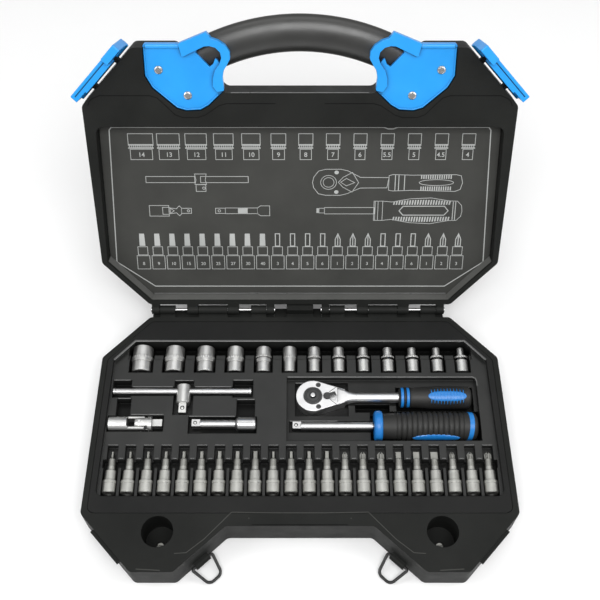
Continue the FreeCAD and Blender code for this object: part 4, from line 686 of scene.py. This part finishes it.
def draw_ratchet_trim(bm):
    for start in BANDS:
        lathe(bm, GRIP, [(GRIP.x + start * MM, grip_radius(GRIP.x) * 0.9),
                         (GRIP.x + (start + 0.4) * MM, grip_radius(GRIP.x)),
                         (GRIP.x + (start + 1.5) * MM, grip_radius(GRIP.x) * 1.02),
                         (GRIP.x + (start + 2.6) * MM, grip_radius(GRIP.x)),
                         (GRIP.x + (start + 3) * MM, grip_radius(GRIP.x) * 0.9)])
    pad(bm, GRIP, grip_radius, GRIP.x + 24.5 * MM, GRIP.x + 58.5 * MM, FACE, 5.4 * MM,
        0.3 * MM)
    for tick in range(11):
        place = GRIP.x + (TICK_START + TICK_PITCH * tick) * MM
        pad(bm, GRIP, grip_radius, place - 0.5 * MM, place + 0.5 * MM, FACE,
            (8.8 - 0.06 * (tick - 5) ** 2) * MM, 0.4 * MM, across=12, along=6)


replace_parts(make("ratchet_soft_grip", "ratchet", RUBBER, draw_ratchet_grip, smooth=True),
            "ratchet_grip")
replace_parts(make("ratchet_inlay", "ratchet", TRIM, draw_ratchet_trim, smooth=True),
            "ratchet_trim")


# ---------------------------------------------------------------- lips and step lines; the pale lips are painted highlights

def bead(bm, points, width, height, base):
    """A raised strip of round section along points, on the level base, open at its ends."""
    points = [Vector(point) for point in points]
    rows = []
    for index, point in enumerate(points):
        before = (point - points[index - 1]).normalized() if index > 0 else None
        after = ((points[index + 1] - point).normalized()
                 if index < len(points) - 1 else None)
        before, after = before or after, after or before
        side = Vector((-before.y - after.y, before.x + after.x)).normalized()
        reach = width / 2 / max(0.35, side.dot(Vector((-before.y, before.x))))
        rows.append([bm.verts.new((*(point + side * reach * math.cos(math.pi * k / 6)),
                                   base + height * (math.sin(math.pi * k / 6) - 0.05)))
                     for k in range(7)])
    skin(bm, rows, around=False)
    bm.faces.new(rows[0])
    bm.faces.new(rows[-1])


# Places on the base: x to the right, and reach from the hinge towards the front.
ON_BASE = BASE @ Matrix.Diagonal((MM, -MM, MM, 1))
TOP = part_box("tray_insert")[1][2] / MM
FIELD, BAY = TOP - 4.5, TOP - 10
RACK_START, RACK_PITCH = -158.1, 15.07  # the row of bit sockets
# The back edge of each nest: its two ends, its reach and the level of its lip.
NEST_BACKS = [
    ((-164, -148.4), 68.2, FIELD), ((-147, -110.8), 74.7, FIELD),
    ((-110.2, -93), 68.6, FIELD), ((-92.4, -59.6), 74.7, FIELD), ((-59, -41), 68.2, FIELD),
    ((-159, -146.6), 86, FIELD), ((-55, -39), 87, FIELD), ((-146, -117), 101.3, FIELD),
    ((-96, -55.6), 103, FIELD), ((-9.3, 33), 105, BAY), ((-4.3, 8), 68.4, BAY)]


# Beads along the lit back edges of the nests and the rack, in the painted highlight grey.
def draw_lip_highlights(bm):
    bead(bm, [(-164.6, 50.4), (-147.3, 31.2), (147.3, 31.2), (164.6, 50.4)], 2.1, 0.8, TOP)
    bead(bm, [(-11, 65.2), (152, 65.2), (154.4, 66.4), (155.4, 69), (155.4, 74)], 1.5, 0.7,
         FIELD)
    for (left, right), reach, level_z in NEST_BACKS:
        bead(bm, [(left + 0.6, reach), (right - 0.6, reach)], 1.2, 0.6, level_z)
    for index in range(len(BITS)):
        x = RACK_START + RACK_PITCH * index
        bead(bm, [(x - 4.2, 129.6), (x + 4.2, 129.6)], 1.0, 0.5, FIELD)
        if index < len(BITS) - 1:
            bead(bm, [(x + 5.9, 141.6), (x + 9.2, 141.6)], 1.1, 0.5, FIELD)


make("tray_lip_highlights", "base", LIP_HIGHLIGHT, draw_lip_highlights, ON_BASE, smooth=True)


def draw_base_lines(bm):
    level_z = TOP + 0.02
    for side in (-1, 1):
        bead(bm, [(side * 129, 236), (side * 110, 237)], 0.8, 0.2, level_z)
        bead(bm, [(side * 97, 236.4), (side * 91.5, 232)], 0.8, 0.2, level_z)
        bead(bm, [(side * 99.7, 223.6), (side * 90.3, 223), (side * 76.6, 212),
                  (side * 55.4, 189.8)], 0.7, 0.2, level_z)
        bead(bm, [(side * 41.7, 195), (side * 40.9, 195)], 1.1, 0.25, level_z)
    bead(bm, [(-55.4, 189.8), (-20, 190.4), (20, 190.4), (55.4, 189.8)], 0.7, 0.2, level_z)


def draw_base_seam(bm):
    strip(bm, [(-38.7, 200.3), (38.7, 200.3)], 0.7, TOP + 0.06, closed=False)


make("base_step_line", "base", PANEL, draw_base_lines, ON_BASE, smooth=True)
make("base_front_seam", "base", SEAM, draw_base_seam, ON_BASE)

# The lid's rim carries the same step, seen from inside.
ON_RIM = in_lid(0)


def draw_lid_seam(bm):
    for side in (-1, 1):
        strip(bm, [(side * 173, 191), (side * 171.6, 194.6), (side * 169, 197),
                   (side * 163, 199.5), (side * 121.9, 199.5), (side * 116, 197.6),
                   (side * 108.7, 190.4), (side * 102.3, 183.6), (side * 96, 181.2),
                   (side * 84, 181.2), (side * 77.5, 183.4), (side * 66, 191.2),
                   (side * 60, 192.9), (side * 20, 192.9)], 0.7, 0.00006, closed=False)


# Beads on the lid's step, in the painted highlight grey.
def draw_lid_lines(bm):
    for side in (-1, 1):
        bead(bm, [(side * 56, 202), (side * 20, 202)], 0.8, 0.00018, 0.00002)
    bead(bm, [(-20, 202), (20, 202)], 0.8, 0.00018, 0.00002)


SKIRT = [(-169.6, 49.2), (-133.8, 10.75), (133.8, 10.75), (169.6, 49.2)]


def draw_skirt(bm):
    """The lining's edge, turned towards the rim along the hinge side of the lid, in a paler grey
    of painted light.
    """
    rows = [[bm.verts.new((x, d + inset, rise)) for x, d in SKIRT]
            for rise, inset in ((-0.0014, 0), (0.0001 - LINING, 0), (0.0001 - LINING, 0.25),
                                (-0.0014, 0.25))]
    skin(bm, rows + rows[:1], around=False)


# The lining's lit edge, a bead in the painted highlight grey.
def draw_lining_line(bm):
    bead(bm, [(-133.2, 11.6), (133.2, 11.6)], 1.0, 0.0005, 0.00002)


make("lid_skirt", "lid", LIT_LINING, draw_skirt, ON_RIM)
make("lining_edge", "lid", LIP_HIGHLIGHT, draw_lining_line, in_lid(LINING), smooth=True)
make("lid_step_seam", "lid", SEAM, draw_lid_seam, ON_RIM)
make("lid_step_line", "lid", LIP_HIGHLIGHT, draw_lid_lines, ON_RIM, smooth=True)


# ---------------------------------------------------------------- lips of the brackets

# The zero point of a bracket's outline, whose x runs outwards and y towards the hinge.
ACROSS, REACH = 91.5, 220.5
PLATE_FACE = 0.0022
TOP_EDGE = [(4.8, -18.2), (31.4, -18.2)]
OUTER_EDGE = [(32.6, -17), (32.6, 4.8), (27.4, 14.4), (8.6, 31), (1.4, 33.2),
              (-10.2, 32.6), (-16.8, 28.8), (-25.4, 20.6)]


def draw_bracket_lips(bm):
    for side in (-1, 1):
        bead(bm, [(side * (ACROSS + x), REACH - y) for x, y in TOP_EDGE], 3.8, 0.0011, 0)
        bead(bm, [(side * (ACROSS + x), REACH - y) for x, y in OUTER_EDGE], 1.7,
             0.0009, 0)


make("bracket_lips", "lid", BLUE, draw_bracket_lips, in_lid(PLATE_FACE), smooth=True)


# ---------------------------------------------------------------- hinge leaves

def block(bm, low, high):
    """A box between two corners."""
    corners = [Vector((x, y, z)) for x in (low[0], high[0]) for y in (low[1], high[1])
               for z in (low[2], high[2])]
    verts = [bm.verts.new(corner) for corner in corners]
    for face in ((0, 1, 3, 2), (4, 6, 7, 5), (0, 4, 5, 1), (2, 3, 7, 6), (0, 2, 6, 4),
                 (1, 5, 7, 3)):
        bm.faces.new([verts[index] for index in face])


def draw_hinge_leaves(bm):
    """A shelf under each row of knuckles, and a narrower one between the two rows."""
    under, over, back = HINGE.z - 7.4 * MM, HINGE.z - 5.6 * MM, HINGE.y + 4.4 * MM
    left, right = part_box("hinge_pin_left"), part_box("hinge_pin_right")
    for low, high in (left, right):
        block(bm, (low[0] + 1 * MM, HINGE.y - 7 * MM, under),
              (high[0] - 1 * MM, back, over))
    block(bm, (left[1][0] - 0.9 * MM, HINGE.y - 4.6 * MM, under),
          (right[0][0] + 0.9 * MM, back, over))


make("hinge_leaves", "base", BLACK, draw_hinge_leaves)


# ---------------------------------------------------------------- marks on the drive tools

HEAD_TOP = GRIP.z + 4 * MM  # the level that the marks on the head start from
DRIVE = Vector(joints["ratchet_drive_spin"]["pos_m"])
ON_HEAD = Matrix.Translation((DRIVE.x, DRIVE.y, HEAD_TOP)) @ Matrix.Diagonal(
    (MM, MM, MM, 1))


def ring(bm, x, y, inner, outer, z, count=40):
    """A flat ring."""
    rows = [(bm.verts.new((x + inner * math.cos(math.tau * i / count),
                           y + inner * math.sin(math.tau * i / count), z)),
             bm.verts.new((x + outer * math.cos(math.tau * i / count),
                           y + outer * math.sin(math.tau * i / count), z)))
            for i in range(count)]
    skin(bm, rows + rows[:1], around=False)


def draw_head_seams(bm):
    z = 0.03
    strip(bm, [(21.4, 9.2), (10.4, 0.4), (21.4, -9.2)], 0.45, z, closed=False)
    ring(bm, 0, 0, 8.0, 8.35, z)
    for y in (10.4, -10.4):
        ring(bm, 4.8, y, 1.75, 2.2, z, 20)


def loft(bm, sections, count=48):
    """Rounded-box sections along X: (x, half width, bottom, top, squareness)."""
    rows = []
    for x, half, bottom, top, square in sections:
        row = []
        for i in range(count):
            angle = math.tau * i / count
            a, b = math.cos(angle), math.sin(angle)
            row.append(bm.verts.new((
                x, half * math.copysign(abs(a) ** (2 / square), a),
                (top + bottom) / 2
                + (top - bottom) / 2 * math.copysign(abs(b) ** (2 / square), b))))
        rows.append(row)
    skin(bm, rows)
    bm.faces.new(rows[0])
    bm.faces.new(rows[-1])


def draw_neck(bm):
    """The facets where the head narrows into the shaft; heights from the grip's axis."""
    loft(bm, [(21.2, 7.9, -6.4, 4.3, 9), (21.7, 8.1, -6.6, 4.62, 9),
              (27.6, 5.75, -6, 4.66, 8), (30.5, 5.1, -5.3, 4.62, 3.4),
              (35.5, 4.6, -4.6, 4.6, 2), (38, 4.52, -4.52, 4.52, 2)])


def draw_gear_rings(bm):
    z = 0.84
    ring(bm, 0, 0, 5.6, 5.85, z)
    ring(bm, 0, 0, 6.6, 6.8, z)
    ring(bm, 0, 0, 2.5, 2.9, z, 28)


make("ratchet_head_seams", "ratchet", SEAM, draw_head_seams, ON_HEAD)
make("ratchet_neck", "ratchet", HEAD, draw_neck,
     Matrix.Translation((DRIVE.x, DRIVE.y, GRIP.z)) @ Matrix.Diagonal((MM, MM, MM, 1)),
     smooth=True)
make("ratchet_gear_rings", "ratchet_drive", SEAM, draw_gear_rings, ON_HEAD)


def rounded(corners, count=8):
    """A closed outline with its corners, (x, y, radius), as arcs."""
    points = []
    for index, (x, y, radius) in enumerate(corners):
        here = Vector((x, y))
        before = (Vector(corners[index - 1][:2]) - here).normalized()
        after = (Vector(corners[(index + 1) % len(corners)][:2]) - here).normalized()
        half = before.angle(after) / 2
        start, end = (here + way * radius / math.tan(half) for way in (before, after))
        centre = here + (before + after).normalized() * radius / math.sin(half)
        sweep = (start - centre).angle_signed(end - centre)
        for step in range(count + 1):
            arm = start - centre
            arm.rotate(Matrix.Rotation(-sweep * step / count, 2))
            points.append(centre + arm)
    return points


RING = [(-10.5, 0, 1.6), (10.5, 0, 1.6), (6.5, 18, 5.2), (-6.5, 18, 5.2)]
WIRE_RADIUS, WIRE_SIDES = 1.25 * MM, 14
DROOP = math.radians(21)


def bail(side):
    """The bent wire ring of one foot, turned about the hinge line on its inner slant."""
    joint = joints[f"bail_{side}_hinge"]
    centre = middle(f"wire_bail_{side}")
    along = Vector(joint["axis"]).normalized()
    origin = Vector(joint["pos_m"])
    level_out = Vector((0, 0, 1)).cross(along)
    if level_out.dot(centre - origin) < 0:
        level_out.negate()
    out = level_out * math.cos(DROOP) - Vector((0, 0, 1)) * math.sin(DROOP)
    up = along.cross(out)
    origin += along * (centre - origin).dot(along)

    def draw(bm):
        path = rounded(RING)
        rows = []
        for index, point in enumerate(path):
            ahead = (path[(index + 1) % len(path)] - path[index - 1]).normalized()
            side_way = along * -ahead.y + out * ahead.x
            place = origin + (along * point.x + out * point.y) * MM
            rows.append([bm.verts.new(place + (side_way * math.cos(math.tau * i / WIRE_SIDES)
                                               + up * math.sin(math.tau * i / WIRE_SIDES))
                                      * WIRE_RADIUS) for i in range(WIRE_SIDES)])
        skin(bm, rows + rows[:1])

    return draw


for side in ("left", "right"):
    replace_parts(make(f"bail_ring_{side}", f"wire_bail_{side}", WIRE, bail(side), smooth=True),
                f"wire_bail_{side}")


# ---------------------------------------------------------------- turned pieces

def turned(bm, start, profile, sides=40, knurl=0.0):
    """Turn (distance, radius) points about a line along Y that begins at start."""
    rows = []
    for along, radius in profile:
        row = []
        for i in range(sides):
            reach = (radius - knurl * (i % 2)) * MM
            row.append(bm.verts.new((start.x + reach * math.sin(math.tau * i / sides),
                                     start.y + along * MM,
                                     start.z + reach * math.cos(math.tau * i / sides))))
        rows.append(row)
    skin(bm, rows)


def band(node, from_back, wide):
    """A knurled ring round a socket."""
    low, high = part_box(node)
    radius = (high[2] - low[2]) / 2 / MM + 0.22
    place = middle(node)
    place.y = high[1] - from_back * (high[1] - low[1])

    def draw_band(bm):
        turned(bm, place, [(0, radius - 0.7), (0, radius - 0.25), (0.25, radius),
                           (wide - 0.25, radius), (wide, radius - 0.25),
                           (wide, radius - 0.7)], 56, 0.2)
    return draw_band


for index, node in enumerate(SOCKETS):
    # The ring starts at the middle of the four largest sockets, and is wider there.
    ring_place, ring_width = (0.5, 2.2) if index < 4 else (0.44, 1.9)
    make(f"{node}_band", node, CHROME, band(node, ring_place, ring_width), crease=0.4)


def draw_button(bm):
    """The push button, slimmer than the CAD's and with a rounded top."""
    low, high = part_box("ratchet_button")
    rise = (high[2] - low[2]) / MM
    turned(bm, Vector((0, 0, 0)), [(0.1, 0.01), (0.1, 2.25), (rise - 0.6, 2.25),
                                   (rise - 0.25, 2.1), (rise - 0.05, 1.7), (rise, 0.01)], 32)


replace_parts(make("push_button", "ratchet_button", BRIGHT, draw_button,
                 Matrix.Translation((DRIVE.x, DRIVE.y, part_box("ratchet_button")[0][2]))
                 @ Matrix.Rotation(math.radians(90), 4, "X"), smooth=True, crease=0.4),
            "ratchet_button")

HOLDER_PROFILE = [(1.2, 3.2), (0.0, 4.2), (0.0, 5.3), (0.8, 5.95), (8.0, 5.95), (8.2, 6.28),
                  (10.6, 6.28), (11.0, 5.3), (11.3, 5.0), (19.4, 4.9), (20.0, 4.5),
                  (20.2, 3.3), (27.2, 3.1)]
HOLDER_RADIUS = 6.3 * MM


def holders(family, count):
    """The sleeves of one family of bits, in a row, each with a square in its mouth."""
    low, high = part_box(f"bit_holders_{family}")
    left, right = low[0] + HOLDER_RADIUS, high[0] - HOLDER_RADIUS

    def draw_holders(bm):
        for index in range(count):
            place = Vector((left + (right - left) * index / (count - 1), low[1],
                            (low[2] + high[2]) / 2))
            turned(bm, place, HOLDER_PROFILE)
            turned(bm, place, [(1.2, 3.2), (1.3, 0.01)], 4)
    return draw_holders


for family, count in FAMILIES.items():
    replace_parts(make(f"holders_{family}", f"bits_{family}", HOLDER, holders(family, count),
                     smooth=True, crease=0.3), f"bit_holders_{family}")


def detent(name, body, place, radius):
    """The sprung ball in a drive square, with the dark ring around it."""
    seat = Matrix.Translation(place) @ Matrix.Diagonal((MM, MM, MM, 1))
    make(name + "_ring", body, SEAM,
         lambda bm: ring(bm, 0, 0, radius * 0.8, radius * 1.25, 0.03, 24), seat)
    make(name + "_ball", body, CHROME,
         lambda bm: bmesh.ops.create_uvsphere(bm, u_segments=20, v_segments=12,
                                              radius=radius * 0.85),
         seat @ Matrix.Diagonal((1, 1, 0.35, 1)), smooth=True)


# Each ball sits in the upper face of a quarter-inch square, near its free end.
SQUARE_HALF = 3.175 * MM
for tool, node in (("spinner", "spinner_shaft_bar"), ("extension", "extension_bar")):
    place = middle(node)
    detent(f"{tool}_detent", tool,
           (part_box(node)[0][0] + 3.4 * MM, place.y, place.z + SQUARE_HALF), 1.3)
place = middle("t_bar_head")
detent("t_bar_detent", "t_bar_slider",
       (place.x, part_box("t_bar_head")[0][1] + 4.4 * MM, place.z + SQUARE_HALF), 1.5)


# ---------------------------------------------------------------- floor, light, camera

sheet = bmesh.new()
bmesh.ops.create_grid(sheet, x_segments=1, y_segments=1, size=4)
floor_mesh = bpy.data.meshes.new("floor")
sheet.to_mesh(floor_mesh)
sheet.free()
floor_item = bpy.data.objects.new("floor", floor_mesh)
bpy.context.scene.collection.objects.link(floor_item)
material, tree, principled, coord = shader("paper_white")
tree.links.new(ramp(tree, noise(tree, coord, 3), [(0.3, (0.9, 0.9, 0.9)),
                                                  (0.7, (0.92, 0.92, 0.92))]),
               principled.inputs["Base Color"])
principled.inputs["Roughness"].default_value = 0.9
principled.inputs["Specular IOR Level"].default_value = 0.1
floor_mesh.materials.append(material)
floor_item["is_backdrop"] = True


def lamp(name, size, power, place, target):
    """A soft rectangular light that is turned towards its target."""
    light = bpy.data.lights.new(name, "AREA")
    light.shape = "RECTANGLE"
    light.size, light.size_y = size
    light.energy = power
    item = bpy.data.objects.new(name, light)
    bpy.context.scene.collection.objects.link(item)
    item.location = place
    item.rotation_mode = "QUATERNION"
    item.rotation_quaternion = (Vector(target) - Vector(place)).to_track_quat("-Z", "Y")
    item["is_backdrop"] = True


CASE_MIDDLE = (0, 0.05, 0.05)
lamp("key_soft", (1.1, 0.7), 15, (0.05, -0.6, 1.4), CASE_MIDDLE)
lamp("back_soft", (1.3, 0.5), 2.6, (0.0, 0.5, 1.25), CASE_MIDDLE)
lamp("left_soft", (0.5, 1.0), 5, (-1.15, -0.1, 0.9), CASE_MIDDLE)
lamp("right_soft", (0.5, 1.0), 5, (1.15, -0.1, 0.9), CASE_MIDDLE)

world = bpy.data.worlds.new("studio")
bpy.context.scene.world = world
world.use_nodes = True
world.node_tree.nodes["Background"].inputs["Color"].default_value = (1, 1, 1, 1)
world.node_tree.nodes["Background"].inputs["Strength"].default_value = 0.45

camera = bpy.data.cameras.new("camera")
camera.lens = 57.6
camera.sensor_width = 36
view = bpy.data.objects.new("camera", camera)
bpy.context.scene.collection.objects.link(view)
# The camera looks down at the open case from above the front of the base.
TILT = math.radians(58.5)
view.location = (0, HINGE.y - 0.4497, HINGE.z - 0.0023 + 0.753)
view.rotation_euler = (math.pi / 2 - TILT, 0, 0)
bpy.context.scene.camera = view
bpy.context.scene.view_settings.view_transform = "Standard"

low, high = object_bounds()
